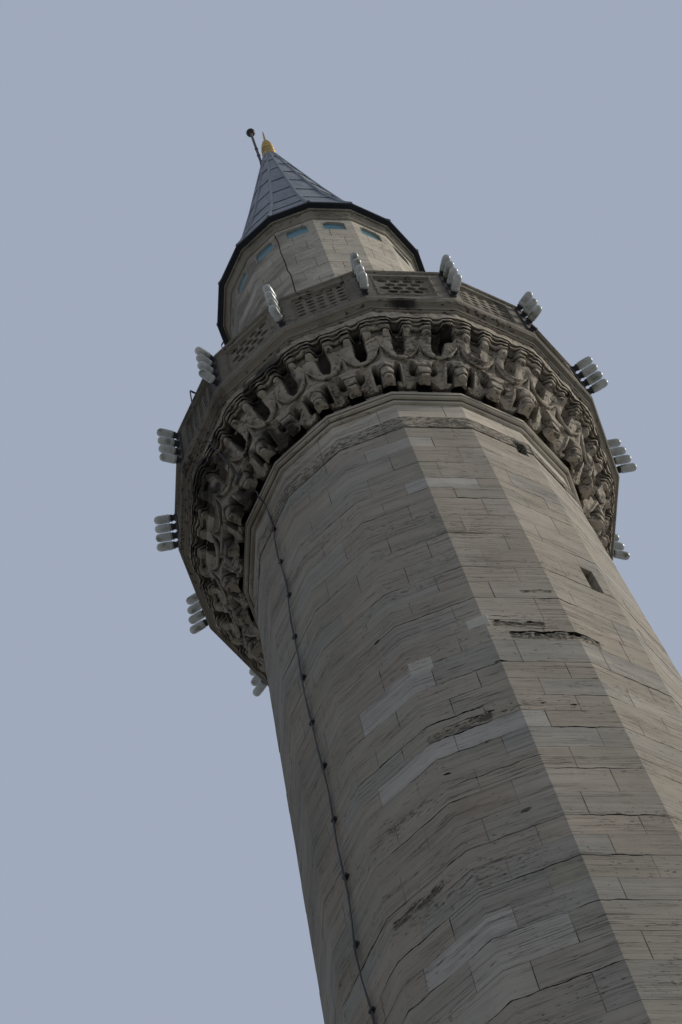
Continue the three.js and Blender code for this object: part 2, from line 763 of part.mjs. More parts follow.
// A point off the transition's ridge that climbs from the square corner to a corner of the sixteen sides.
function offRidge(azimuth, share) {
  const foot = new THREE.Vector3(-BASE_HALF, -BASE_HALF, SLOPE_FOOT);
  const onRidge = foot.lerp(polar(azimuth, slopeTopRadius, TRANSITION_TOP), share);
  const outward = new THREE.Vector3(onRidge.x, onRidge.y, 0).normalize();
  return onRidge.addScaledVector(outward, 1.6 * STAND_OFF);
}
const conductorRoute = [
  polar(ROD_AZIMUTH, onSpire(ROD_FOOT - 40) + 4, ROD_FOOT - 40),
  ...SPIRE_PROFILE.slice(1, -1)
    .reverse()
    .map((station) => polar(ROD_AZIMUTH, onSpire(station[1]), station[1])),
  polar(ROD_AZIMUTH, EAVE_RADIUS + 8, EAVE_TOP + 12),
  polar(ROD_AZIMUTH, EAVE_RADIUS + 8, EAVE_FOOT - 14),
  polar(ROD_AZIMUTH, UPPER_RADIUS + 20, UPPER_WALL_TOP - 20),
  polar(ROD_AZIMUTH, UPPER_RADIUS + 26, SLAB_TOP + LEAD_RADIUS + 4),
  polar(LEAD_AZIMUTH, railHollow * TO_APOTHEM - STAND_OFF, SLAB_TOP + LEAD_RADIUS + 4),
  polar(LEAD_AZIMUTH, railHollow * TO_APOTHEM - STAND_OFF, RAIL_TOP + STAND_OFF),
  polar(LEAD_AZIMUTH, CLEAR_OF_RAIL, RAIL_TOP + STAND_OFF),
  polar(LEAD_AZIMUTH, CLEAR_OF_RAIL, SLAB_FOOT - 10),
  ...BEFORE_PENDANTS.map(([radius, z]) => polar(LEAD_AZIMUTH, radius, z)),
  polar(LEAD_AZIMUTH, onShaft(RING_FOOT - 60), RING_FOOT - 60),
  polar(LEAD_AZIMUTH, onShaft(FOOT_RING_TOP + 200), FOOT_RING_TOP + 200),
  polar(LEAD_AZIMUTH, onShaft(FOOT_RING_TOP) + 30, FOOT_RING_TOP + 40),
  polar(LEAD_AZIMUTH, (footRadius + 108) * TO_APOTHEM + STAND_OFF, FOOT_RING_TOP - 100),
  polar(LEAD_AZIMUTH, (footRadius + 112) * TO_APOTHEM + STAND_OFF, TRANSITION_TOP + 100),
  polar(LEAD_AZIMUTH, slopeTopRadius + 30, TRANSITION_TOP - 30),
  offRidge(-1.5 * FACET_ANGLE, 0.15),
  offRidge(-0.5 * FACET_ANGLE, 0.1),
  new THREE.Vector3(LEAD_ON_BASE, -BASE_HALF - 26, SLOPE_FOOT - 20),
  new THREE.Vector3(LEAD_ON_BASE, -BASE_HALF - 50, BASE_CORNICE_TOP),
  new THREE.Vector3(LEAD_ON_BASE, -BASE_HALF - 104, BASE_CORNICE_TOP - 80),
  new THREE.Vector3(LEAD_ON_BASE, -BASE_HALF - 104, BASE_TOP + 70),
  new THREE.Vector3(LEAD_ON_BASE, -BASE_HALF - 52, BASE_TOP - 20),
  new THREE.Vector3(LEAD_ON_BASE, -BASE_HALF - STAND_OFF, BASE_TOP - 80),
  new THREE.Vector3(LEAD_ON_BASE, -BASE_HALF - STAND_OFF, PLINTH_TOP + LEAD_RADIUS),
];
const CLIP_FIRST = 9780;
const CLIP_SPACING = 1430;
const CLIPS_ON_SHAFT = 8;
const CLIP = { width: 52, depth: 34, height: 28 };
const clips = [];
for (let i = 0; i < CLIPS_ON_SHAFT; i++) {
  const foot = CLIP_FIRST + i * CLIP_SPACING;
  const face = shaftRadius(foot) * TO_APOTHEM + SEAT_GAP;
  clips.push(solid(block(CLIP.width, CLIP.depth, CLIP.height, LEAD_AZIMUTH, face + CLIP.depth / 2, foot)));
}
for (const foot of [PLINTH_TOP + 700, PLINTH_TOP + 2200, PLINTH_TOP + 3700]) {
  const clip = block(CLIP.width, CLIP.depth, CLIP.height, 0, BASE_HALF + SEAT_GAP + CLIP.depth / 2, foot);
  clips.push(solid(clip.translate(LEAD_ON_BASE, 0, 0)));
}
place("lightning_conductor", geometryOf(joined([bar(conductorRoute, LEAD_RADIUS, 6), ...clips])), IRON);

export default group;
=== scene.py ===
# A slender stone minaret of sixteen facets: ashlar shaft, muqarnas balcony, lead spire and gilded finial.
# It is built here from the ground up, in metres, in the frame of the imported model.
import json
import math
import random

import bmesh
import bpy
from mathutils import Matrix, Vector, noise

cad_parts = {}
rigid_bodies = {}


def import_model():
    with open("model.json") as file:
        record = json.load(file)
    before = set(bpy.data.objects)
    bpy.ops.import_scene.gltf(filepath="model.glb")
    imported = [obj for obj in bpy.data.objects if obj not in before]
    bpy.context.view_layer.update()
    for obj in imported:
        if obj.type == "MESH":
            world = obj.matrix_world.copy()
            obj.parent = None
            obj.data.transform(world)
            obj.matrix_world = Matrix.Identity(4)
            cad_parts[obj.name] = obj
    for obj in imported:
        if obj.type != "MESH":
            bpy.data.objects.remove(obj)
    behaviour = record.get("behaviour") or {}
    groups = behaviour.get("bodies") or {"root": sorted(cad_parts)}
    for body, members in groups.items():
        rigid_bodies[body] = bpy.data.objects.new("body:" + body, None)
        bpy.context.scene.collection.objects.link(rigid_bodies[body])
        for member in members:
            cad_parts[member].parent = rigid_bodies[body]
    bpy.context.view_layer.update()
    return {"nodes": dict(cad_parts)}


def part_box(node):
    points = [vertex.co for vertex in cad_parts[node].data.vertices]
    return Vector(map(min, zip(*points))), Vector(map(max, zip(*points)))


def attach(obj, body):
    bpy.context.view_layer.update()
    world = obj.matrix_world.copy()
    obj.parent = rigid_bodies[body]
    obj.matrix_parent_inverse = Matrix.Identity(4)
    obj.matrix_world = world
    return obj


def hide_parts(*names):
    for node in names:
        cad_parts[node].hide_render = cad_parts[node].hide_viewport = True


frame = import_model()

for layer_object in bpy.context.scene.objects:
    layer_object.select_set(False)

# The photographer's stand: eye height beside the tower's foot, looking steeply up past the balcony.
# The long lens and the tilt of the horizon are the photograph's own.
EYE_TURN = math.radians(0.306)
EYE_DISTANCE = 6.871
EYE_HEIGHT = 1.5
LOOK_UP = 1.26
LOOK_ASIDE = -0.06 - EYE_TURN
HORIZON_TILT = -0.293
LENS_MM = 105.02
FILM_WIDTH_MM = 36
SIGHT_LIMIT = 400

eye = Vector((EYE_DISTANCE * math.sin(EYE_TURN), -EYE_DISTANCE * math.cos(EYE_TURN), EYE_HEIGHT))
sight = Vector((
    math.sin(LOOK_ASIDE) * math.cos(LOOK_UP),
    math.cos(LOOK_ASIDE) * math.cos(LOOK_UP),
    math.sin(LOOK_UP),
))
level = sight.cross(Vector((0, 0, 1))).normalized()
upright = level.cross(sight)
right = level * math.cos(HORIZON_TILT) + upright * math.sin(HORIZON_TILT)
up = upright * math.cos(HORIZON_TILT) - level * math.sin(HORIZON_TILT)
bpy.ops.object.camera_add(location=eye)
camera = bpy.context.object
camera.name = "photographer"
camera.matrix_world = Matrix.Translation(eye) @ Matrix((right, up, -sight)).transposed().to_4x4()
camera.data.lens = LENS_MM
camera.data.sensor_width = FILM_WIDTH_MM
camera.data.sensor_fit = "AUTO"
camera.data.clip_end = SIGHT_LIMIT
bpy.context.scene.camera = camera

# Studio light: an even pale sky all round and one broad soft lamp from the right, a little behind.
# The floor is a plain pale sheet, which isn't part of the tower.
LAMP_AZIMUTH = math.radians(98)
LAMP_ELEVATION = math.radians(34)
LAMP_SPREAD = math.radians(16)
LAMP_STRENGTH = 3.25
LAMP_COLOUR = (1.0, 0.95, 0.87)
SKY_COLOUR = (0.35, 0.402, 0.505, 1)
FLOOR_COLOUR = (0.36, 0.36, 0.35, 1)
FLOOR_SIZE = 60
bpy.ops.object.light_add(type="SUN", location=(20, 0, 40))
soft_lamp = bpy.context.object
soft_lamp.name = "soft_lamp"
toward_lamp = Vector((
    math.sin(LAMP_AZIMUTH) * math.cos(LAMP_ELEVATION),
    -math.cos(LAMP_AZIMUTH) * math.cos(LAMP_ELEVATION),
    math.sin(LAMP_ELEVATION),
))
soft_lamp.rotation_euler = toward_lamp.to_track_quat("Z", "Y").to_euler()
soft_lamp.data.energy = LAMP_STRENGTH
soft_lamp.data.angle = LAMP_SPREAD
soft_lamp.data.color = LAMP_COLOUR
sky = bpy.data.worlds.new("studio_sky")
sky.use_nodes = True
sky.node_tree.nodes["Background"].inputs["Color"].default_value = SKY_COLOUR
sky.node_tree.nodes["Background"].inputs["Strength"].default_value = 1.0
bpy.context.scene.world = sky
bpy.context.scene.view_settings.view_transform = "Standard"


class Finish:
    """A procedural finish in the making, with short names for the shader nodes that it is mixed from.

    place is the piece's own coordinates. Sockets are given by name, with _ for a space."""

    def __init__(self, name, **surface):
        self.material = bpy.data.materials.new(name)
        self.material.use_nodes = True
        self.tree = self.material.node_tree
        self.place = self.tree.nodes.new("ShaderNodeTexCoord").outputs["Object"]
        self.coat(**surface)

    def feed(self, socket, value):
        if isinstance(value, bpy.types.NodeSocket):
            self.tree.links.new(value, socket)
        else:
            socket.default_value = value

    def coat(self, **surface):
        """Sets or links the surface's own sockets, and gives the material."""
        for name, value in surface.items():
            self.feed(self.tree.nodes["Principled BSDF"].inputs[name.replace("_", " ")], value)
        return self.material

    def node(self, kind, **sockets):
        made = self.tree.nodes.new(kind)
        for name, value in sockets.items():
            self.feed(made.inputs[name.replace("_", " ")], value)
        return made

    def maths(self, operation, first, second):
        made = self.tree.nodes.new("ShaderNodeMath")
        made.operation = operation
        self.feed(made.inputs[0], first)
        self.feed(made.inputs[1], second)
        return made.outputs["Value"]

    def attribute(self, name):
        made = self.tree.nodes.new("ShaderNodeAttribute")
        made.attribute_name = name
        return made.outputs["Fac"]

    def noise(self, stretch, detail, roughness, distortion=0.0):
        """Cloudy noise, with its scale along X, Y and Z."""
        mapping = self.node("ShaderNodeMapping", Vector=self.place, Scale=stretch)
        clouds = self.node("ShaderNodeTexNoise", Vector=mapping.outputs["Vector"], Scale=1.0, Detail=detail,
                           Roughness=roughness, Distortion=distortion)
        return clouds.outputs["Fac"]

    def ramp(self, source, *stops):
        """A colour ramp through (place, grey or colour) in rising order."""
        made = self.tree.nodes.new("ShaderNodeValToRGB")
        elements = made.color_ramp.elements
        elements[0].position = stops[0][0]
        elements[1].position = stops[-1][0]
        for place, _ in stops[1:-1]:
            elements.new(place)
        for element, (_, colour) in zip(elements, stops):
            shade = (colour, colour, colour) if isinstance(colour, (int, float)) else colour
            element.color = (*shade, 1)
        self.feed(made.inputs["Fac"], source)
        return made.outputs["Color"]

    def blend(self, below, above, share=1.0, kind="MULTIPLY"):
        made = self.tree.nodes.new("ShaderNodeMix")
        made.data_type = "RGBA"
        made.blend_type = kind
        for place, value in ((0, share), (6, below), (7, above)):
            self.feed(made.inputs[place], value)
        return made.outputs[2]

    def relief(self, height, distance, strength=1.0):
        bump = self.node("ShaderNodeBump", Height=height, Distance=distance, Strength=strength)
        self.coat(Normal=bump.outputs["Normal"])


bpy.ops.mesh.primitive_plane_add(size=FLOOR_SIZE, location=(0, 0, 0))
floor = bpy.context.object
floor.name = "studio_floor"
floor.data.materials.append(Finish("studio_floor_paint", Base_Color=FLOOR_COLOUR, Roughness=0.9).material)

# Foundation plinth: one low square step of hard grey stone, laid in long kerb blocks.
# It takes the first of the stone finishes, which are mixed here: streaks, pits and stains in lime stone.
PLINTH_HALF = 1.7
PLINTH_TOP = 0.3
JOINT = 0.0022


def lime_stone(
    name, beds, lines=0.5, pitting=0.5, stain=0.5, relief=0.004, grain=60.0,
    painted_side_shade=0.3, soundness=0.79, soot_run=0.62,
):
    """Lime stone: beds are the quarry's colours, each with the share of the blocks that it ends.

    The side-shade argument darkens the side away from the lamp as painted shade, soundness is low where pits
    lie close together, and soot_run is the tone that is left where water has run."""
    stone = Finish(name, Roughness=0.88, Specular_IOR_Level=0.25)
    colour = stone.ramp(stone.attribute("stone_tone"), *beds)
    clouds = stone.noise((2.1, 2.1, 3.2), 8, 0.66)
    shades = (0.32, (0.84, 0.86, 0.85)), (0.5, (1.0, 1.0, 0.98)), (0.68, (1.13, 1.1, 1.09))
    colour = stone.blend(colour, stone.ramp(clouds, *shades))
    banding = stone.noise((0.7, 0.7, 16), 7, 0.68, 0.2)
    colour = stone.blend(colour, stone.ramp(banding, (0.36, 0.87), (0.5, 1.0), (0.64, 1.07)))
    broken = stone.ramp(stone.noise((1.6, 1.6, 4.5), 5, 0.65), (0.4, 0.0), (0.54, 1.0))
    height = stone.maths("MULTIPLY", banding, 0.3)
    for stretch, width, share in (((0.7, 0.7, 17), 0.007, 1.0), ((1.3, 1.3, 46), 0.012, 0.6)):
        bedding = stone.noise(stretch, 3, 0.5, 0.15)
        off_line = stone.maths("ABSOLUTE", stone.maths("SUBTRACT", bedding, 0.5), 0.0)
        line = stone.maths("MULTIPLY", stone.ramp(off_line, (width * 0.25, share), (width, 0.0)), broken)
        line = stone.maths("MULTIPLY", line, lines)
        colour = stone.blend(colour, (0.27, 0.245, 0.21, 1), line)
        height = stone.maths("SUBTRACT", height, line)
    zone = stone.noise((1.2, 1.2, 3.6), 4, 0.6)
    pits = stone.noise((24, 24, 55), 5, 0.7, 0.3)
    pit_edge = stone.maths("ADD", pits, stone.maths("MULTIPLY", zone, 0.4))
    pit_mask = stone.ramp(pit_edge, (soundness, 0.0), (soundness + 0.05, 1.0))
    pit_mask = stone.maths("MULTIPLY", pit_mask, pitting)
    colour = stone.blend(colour, (0.26, 0.235, 0.2, 1), pit_mask)
    runs = stone.noise((1.5, 1.5, 0.35), 5, 0.6, 0.4)
    run_share = stone.maths("MULTIPLY", stone.ramp(runs, (0.48, 0.0), (0.7, 1.0)), stain)
    colour = stone.blend(colour, (soot_run, soot_run, soot_run * 0.97, 1), run_share)
    # Painted shade: the side away from the lamp, towards -X, is darkened to grey, in patches that follow the
    # clouds.
    across = stone.node("ShaderNodeSeparateXYZ", Vector=stone.place).outputs["X"]
    shady = stone.maths("ADD", stone.maths("MULTIPLY", across, -0.35), clouds)
    shade = stone.maths("MULTIPLY", stone.ramp(shady, (0.5, 0.0), (0.95, 1.0)), painted_side_shade)
    colour = stone.blend(colour, (0.34, 0.33, 0.31, 1), shade)
    # The darkening attribute blackens the stone: a soot stain, and painted shade in the corbelling's hollows
    # and on its side away from the lamp.
    colour = stone.blend(colour, (0.03, 0.027, 0.023, 1), stone.attribute("soot_and_shade"))
    fine = stone.noise((grain, grain, grain * 1.6), 5, 0.7)
    height = stone.maths("ADD", height, stone.maths("MULTIPLY", fine, 0.35))
    stone.relief(stone.maths("SUBTRACT", height, pit_mask), relief)
    return stone.coat(Base_Color=colour)


def clear_selection():
    if bpy.context.object and bpy.context.object.mode == "EDIT":
        bpy.ops.object.mode_set(mode="OBJECT")
    for one in bpy.context.selected_objects:
        one.select_set(False)


def work_on(piece):
    clear_selection()
    bpy.context.view_layer.objects.active = piece
    piece.select_set(True)


def open_mesh(piece):
    work_on(piece)
    bpy.ops.object.mode_set(mode="EDIT")
    bpy.ops.mesh.select_mode(type="FACE")
    bpy.ops.mesh.select_all(action="DESELECT")
    return bmesh.from_edit_mesh(piece.data)


def choose(piece, wanted, kind="FACE"):
    """Selects the faces or edges of an open mesh for which wanted says yes."""
    bpy.ops.mesh.select_mode(type=kind)
    bpy.ops.mesh.select_all(action="DESELECT")
    mesh = bmesh.from_edit_mesh(piece.data)
    for one in mesh.faces if kind == "FACE" else mesh.edges:
        if wanted(one):
            one.select_set(True)
    bmesh.update_edit_mesh(piece.data)


def close_mesh():
    bpy.ops.object.mode_set(mode="OBJECT")


def close_outward():
    """Turns all faces of the open mesh outward and closes it."""
    bpy.ops.mesh.select_all(action="SELECT")
    bpy.ops.mesh.normals_make_consistent(inside=False)
    close_mesh()


def set_in_tower(piece, name, finishes, nodes=(), smooth_angle=None):
    """The finished piece: its place goes into its mesh, it takes its finish, and it rides on the tower."""
    work_on(piece)
    bpy.ops.object.transform_apply(location=True, rotation=True, scale=True)
    piece.name = name
    piece.data.name = name
    for finish in finishes:
        if finish.name not in piece.data.materials:
            piece.data.materials.append(finish)
    if smooth_angle is None:
        bpy.ops.object.shade_flat()
    else:
        bpy.ops.object.shade_smooth_by_angle(angle=math.radians(smooth_angle))
    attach(piece, "root")
    if nodes:
        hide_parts(*nodes)
    return piece


def around(azimuth, radius, z):
    """A point at an azimuth in degrees, 0 towards the photographer and 90 to the right."""
    angle = math.radians(azimuth)
    return Vector((radius * math.sin(angle), -radius * math.cos(angle), z))


def azimuth_of(point):
    return math.degrees(math.atan2(point.x, -point.y))


def bed_tones(colour, shades):
    """The beds of one quarry: its colour, lighter or darker for each share of the blocks."""
    return [(share, tuple(tone * part for part in colour)) for share, tone in shades]


ASHLAR_BEDS = [
    (0.0, (0.276, 0.237, 0.182)),
    (0.16, (0.252, 0.228, 0.187)),
    (0.32, (0.291, 0.246, 0.189)),
    (0.48, (0.258, 0.225, 0.17)),
    (0.64, (0.287, 0.25, 0.2)),
    (0.8, (0.272, 0.228, 0.172)),
    (0.92, (0.268, 0.243, 0.2)),
    (0.96, (0.295, 0.258, 0.205)),
    (0.99, (0.345, 0.313, 0.268)),
]
ashlar = lime_stone(
    "ashlar_lime_stone", ASHLAR_BEDS, lines=0.95, pitting=0.75, stain=0.35, painted_side_shade=0.7, soundness=0.82
)

# Mortar between the stones is tight and pale in places, washed out and black in others. Where a bed joint has
# lost it, and in cracks and holes, a near-black finish is painted shadow with a little dirt.
joint = Finish("lime_mortar_joint", Roughness=0.95, Specular_IOR_Level=0.15)
joint.relief(joint.noise((70, 70, 70), 4, 0.7), 0.003, 0.7)
joint_tones = (0.42, (0.22, 0.19, 0.145)), (0.54, (0.14, 0.12, 0.095)), (0.62, (0.03, 0.026, 0.021))
mortar = joint.coat(Base_Color=joint.ramp(joint.noise((2.1, 2.1, 2.9), 5, 0.65), *joint_tones))
gap_shadow = Finish("open_joint_painted_shadow", Roughness=1.0, Specular_IOR_Level=0.0)
gap_shadow_tones = (0.44, (0.16, 0.146, 0.123)), (0.54, (0.02, 0.019, 0.017))
painted_gap_shadow = gap_shadow.coat(Base_Color=gap_shadow.ramp(gap_shadow.noise((2.6, 2.6, 9), 4, 0.6), *gap_shadow_tones))


def lay_stones(piece, is_wall, beds, cuts_of, stone_at, seed, proud=0.0012, open_beds=(), pale=()):
    """Cuts a wall's faces into courses and stones, and raises each stone a little from its mortar.

    beds are the heights of the bed joints, cuts_of gives the normals of the upright cuts for each of the
    four patterns that the courses follow in turn, and stone_at gives the stone that a point of such a course
    is in. The stones at the points in pale are newer ones, of a paler bed."""

    def course_of(face):
        z = face.calc_center_median().z
        return sum(1 for bed in beds if bed < z)

    open_mesh(piece)
    for z in beds:
        choose(piece, is_wall)
        bpy.ops.mesh.bisect(plane_co=(0, 0, z), plane_no=(0, 0, 1))
    for pattern in range(4):
        for point, normal in cuts_of(pattern):
            choose(piece, lambda f: is_wall(f) and course_of(f) % 4 == pattern)
            bpy.ops.mesh.bisect(plane_co=point, plane_no=normal)
    renewed = []
    for point in pale:
        course = sum(1 for bed in beds if bed < point.z)
        renewed.append((course, stone_at(point, course % 4)))
    mesh = bmesh.from_edit_mesh(piece.data)
    tone = mesh.faces.layers.float.new("stone_tone")
    kind = mesh.faces.layers.int.new("stone_kind")
    for face in mesh.faces:
        if is_wall(face):
            course = course_of(face)
            stone = stone_at(face.calc_center_median(), course % 4)
            face[kind] = 1 + 2 * (course % 2) + stone % 2
            drawn = random.Random(seed + 7919 * course + 31 * stone).random()
            face[tone] = 1.0 if (course, stone) in renewed else drawn
    bmesh.update_edit_mesh(piece.data)
    for which in (1, 2, 3, 4):
        choose(piece, lambda f: f[kind] == which)
        bpy.ops.mesh.inset(thickness=JOINT, depth=proud, use_even_offset=True)
        mesh = bmesh.from_edit_mesh(piece.data)
        for face in mesh.faces:
            if face[kind] == which:
                on_open_bed = any(abs(face.calc_center_median().z - bed) < 2 * JOINT for bed in open_beds)
                face[kind] = 10 if face.select else 20
                face.material_index = 0 if face.select else 2 if on_open_bed and face[tone] < 0.7 else 1
    for share, step in ((0.3, 0.0012), (0.55, -0.0008)):
        choose(piece, lambda f: f[kind] == 10 and share - 0.3 < (f[tone] * 977) % 1 < share)
        bpy.ops.transform.shrink_fatten(value=step)
    close_mesh()
    piece.data.attributes.remove(piece.data.attributes["stone_kind"])


def block(width, near, far, foot, top, middle=0.0):
    """An upright block: its width along X about the middle, then its reach along Y and Z."""
    clear_selection()
    centre = (middle, (near + far) / 2, (foot + top) / 2)
    bpy.ops.mesh.primitive_cube_add(size=1, location=centre, scale=(width, far - near, top - foot))
    bpy.ops.object.transform_apply(location=True, rotation=True, scale=True)
    return bpy.context.object


def square_cuts(places_by_pattern):
    """Upright cuts of a square wall: across X on the front and back, across Y on the sides."""

    def cuts_of(pattern):
        found = []
        for place in places_by_pattern[pattern]:
            found.append(((place, 0, 0), (1, 0, 0)))
            found.append(((0, place, 0), (0, 1, 0)))
        return found

    return cuts_of


def square_stone(places_by_pattern):
    def stone_at(point, pattern):
        on_front = abs(point.y) > abs(point.x)
        along = point.x if on_front else point.y
        side = (0 if point.y < 0 else 2) if on_front else (1 if point.x > 0 else 3)
        return 40 * side + sum(1 for place in places_by_pattern[pattern] if place < along)

    return stone_at


def on_kerb(face):
    middle = face.calc_center_median()
    return middle.z > 0.01 and (abs(face.normal.z) < 0.3 or abs(middle.z - PLINTH_TOP) < 0.001)


kerbs = [[-1.02, -0.34, 0.34, 1.02]] * 4
plinth = block(2 * PLINTH_HALF, -PLINTH_HALF, PLINTH_HALF, 0, PLINTH_TOP)
lay_stones(plinth, on_kerb, [], square_cuts(kerbs), square_stone(kerbs), seed=11, proud=0.0)
set_in_tower(plinth, "plinth_kerbs", [ashlar, mortar, painted_gap_shadow], ["foundation_plinth"])

# Pedestal: a square block of ashlar, hollow for the foot of the stair, the entrance doorway in its far side.
# The courses are tall and the stones long, each dressed flat and set with a thin joint.
BASE_HALF = 1.6
BASE_WALL = 0.7
BASE_TOP = 5.2
BASE_COURSE = 0.38
DOOR_WIDTH = 0.75
DOOR_HEIGHT = 1.9


def cut_away(piece, cutter):
    """Takes the cutter's shape out of a piece and removes the cutter."""
    work_on(piece)
    modifier = piece.modifiers.new("cut", "BOOLEAN")
    modifier.operation = "DIFFERENCE"
    modifier.solver = "EXACT"
    modifier.object = cutter
    bpy.ops.object.modifier_apply(modifier=modifier.name)
    bpy.data.objects.remove(cutter, do_unlink=True)


hollow_half = BASE_HALF - BASE_WALL
pedestal = block(2 * BASE_HALF, -BASE_HALF, BASE_HALF, PLINTH_TOP, BASE_TOP)
cut_away(pedestal, block(2 * hollow_half, -hollow_half, hollow_half, PLINTH_TOP - 1, BASE_TOP + 1))
doorway_head = PLINTH_TOP + DOOR_HEIGHT
cut_away(pedestal, block(DOOR_WIDTH, hollow_half - 0.2, BASE_HALF + 1, PLINTH_TOP - 1, doorway_head))
pedestal_beds = [PLINTH_TOP + BASE_COURSE * i for i in range(1, 13)]
pedestal_joints = [
    [-1.12, -0.42, 0.42, 1.08],
    [-0.78, 0.1, 0.8],
    [-1.22, -0.5, 0.5, 1.2],
    [-0.9, -0.08, 0.72],
]


def on_pedestal(face):
    middle = face.calc_center_median()
    return abs(face.normal.z) < 0.3 and max(abs(middle.x), abs(middle.y)) > BASE_HALF - 0.001


lay_stones(
    pedestal, on_pedestal, pedestal_beds, square_cuts(pedestal_joints), square_stone(pedestal_joints), seed=23
)
base_walls = ["base_wall_front", "base_wall_left", "base_wall_right", "base_wall_back"]
set_in_tower(pedestal, "pedestal_ashlar", [ashlar, mortar, painted_gap_shadow], base_walls)

# Entrance door: upright oak boards, bound by two iron straps with clenched nails, and a ring to pull.
# It hangs in a plain stone frame that stands a little proud of the pedestal.
DOOR_FACE = 1.38
BOARDS = 5

oak = Finish("weathered_oak", Roughness=0.72)
oak_tones = (0.3, (0.06, 0.037, 0.022)), (0.7, (0.16, 0.105, 0.062))
figure = oak.ramp(oak.noise((26, 26, 1.4), 6, 0.6, 1.2), *oak_tones)
pores = oak.noise((240, 240, 9), 3, 0.6)
oak.relief(pores, 0.002, 0.8)
weathered_oak = oak.coat(Base_Color=oak.blend(figure, oak.ramp(pores, (0.4, 0.5), (0.55, 1.0)), 0.5))


def forged_iron(name, base, rust, **surface):
    iron = Finish(name, Metallic=0.55)
    patches = iron.noise((30, 30, 30), 6, 0.65)
    iron.coat(Base_Color=iron.ramp(patches, (0.45, base), (0.62, rust)))
    iron.relief(patches, 0.0015, 0.6)
    return iron.coat(Roughness=iron.ramp(patches, (0.4, 0.45), (0.65, 0.85)), **surface)


dark_iron = forged_iron("forged_dark_iron", (0.022, 0.022, 0.024), (0.07, 0.035, 0.018))


def bevelled(piece, width, segments=2):
    work_on(piece)
    modifier = piece.modifiers.new("arris", "BEVEL")
    modifier.width = width
    modifier.segments = segments
    modifier.limit_method = "ANGLE"
    modifier.angle_limit = math.radians(30)
    bpy.ops.object.modifier_apply(modifier=modifier.name)
    return piece


def joined(pieces):
    clear_selection()
    for one in pieces:
        one.select_set(True)
    bpy.context.view_layer.objects.active = pieces[0]
    if len(pieces) > 1:
        bpy.ops.object.join()
    return pieces[0]


def boarded_leaf(width, foot, height, inner, outer, boards):
    """Upright boards side by side, with their arrises taken off."""
    made = []
    pitch = width / boards
    for i in range(boards):
        middle = (i + 0.5) * pitch - width / 2
        board = block(pitch - 0.0024, inner, outer - 0.004 * (i % 2), foot, foot + height, middle)
        made.append(bevelled(board, 0.005))
    return joined(made)


def strap_and_nails(width, z, face, nails):
    """A flat iron strap across the boards, with domed nail heads."""
    made = [bevelled(block(width, face - 0.002, face + 0.006, z - 0.03, z + 0.03), 0.002)]
    for i in range(nails):
        x = -width / 2 + 0.05 + i * (width - 0.1) / (nails - 1)
        clear_selection()
        nail_at = (x, face + 0.006, z)
        bpy.ops.mesh.primitive_uv_sphere_add(segments=10, ring_count=6, radius=0.013, location=nail_at)
        bpy.context.object.scale = (1, 0.7, 1)
        bpy.ops.object.transform_apply(location=True, rotation=True, scale=True)
        made.append(bpy.context.object)
    return joined(made)


door_sill = PLINTH_TOP + 0.002
leaf = boarded_leaf(DOOR_WIDTH - 0.004, door_sill, DOOR_HEIGHT - 0.006, DOOR_FACE - 0.058, DOOR_FACE, BOARDS)
set_in_tower(leaf, "entrance_door_boards", [weathered_oak], ["entrance_door"], 30)
straps = joined([strap_and_nails(DOOR_WIDTH - 0.05, PLINTH_TOP + z, DOOR_FACE, 6) for z in (0.35, 1.5)])
set_in_tower(straps, "entrance_door_straps", [dark_iron], (), 30)
clear_selection()
bpy.ops.mesh.primitive_torus_add(
    major_segments=28,
    minor_segments=8,
    major_radius=0.045,
    minor_radius=0.006,
    location=(0.27, DOOR_FACE + 0.012, PLINTH_TOP + 0.98),
    rotation=(math.radians(90), 0, 0),
)
pull_ring = bpy.context.object
rose = block(0.04, DOOR_FACE - 0.002, DOOR_FACE + 0.01, PLINTH_TOP + 1.01, PLINTH_TOP + 1.05, 0.27)
rose = bevelled(rose, 0.004)
set_in_tower(joined([pull_ring, rose]), "entrance_pull_ring", [dark_iron], (), 40)

CARVED_SHADES = [(0.0, 1.0), (0.35, 1.08), (0.7, 0.94), (1.0, 1.12)]
carved_tones = bed_tones((0.296, 0.251, 0.19), CARVED_SHADES)
carved_stone = lime_stone("carved_weathered_stone", carved_tones, 0.4, 0.8, 0.6, 0.008, 40.0, 0.6, 0.77)
frame_outer = block(DOOR_WIDTH + 0.32, BASE_HALF - 0.02, BASE_HALF + 0.03, PLINTH_TOP, doorway_head + 0.18)
cut_away(frame_outer, block(DOOR_WIDTH, BASE_HALF - 0.5, BASE_HALF + 0.5, PLINTH_TOP - 0.5, doorway_head))
open_mesh(frame_outer)
choose(frame_outer, lambda f: f.normal.y > 0.9)
for thickness, depth in ((0.03, 0.0), (0.012, -0.012), (0.02, 0.0), (0.012, 0.008)):
    bpy.ops.mesh.inset(thickness=thickness, depth=depth)
close_mesh()
set_in_tower(frame_outer, "entrance_stone_frame", [carved_stone], (), 25)

# Pedestal cornice: a square course of carved lime stone with a hollow, a round and fillets. It is mitred at
# the corners, open in the middle, and ties the heads of the four walls.
SIDES = 16
FACET_ANGLE = 360 / SIDES
FIRST_CORNER = FACET_ANGLE / 2
TO_APOTHEM = math.cos(math.pi / SIDES)
BASE_CORNICE_TOP = 5.5


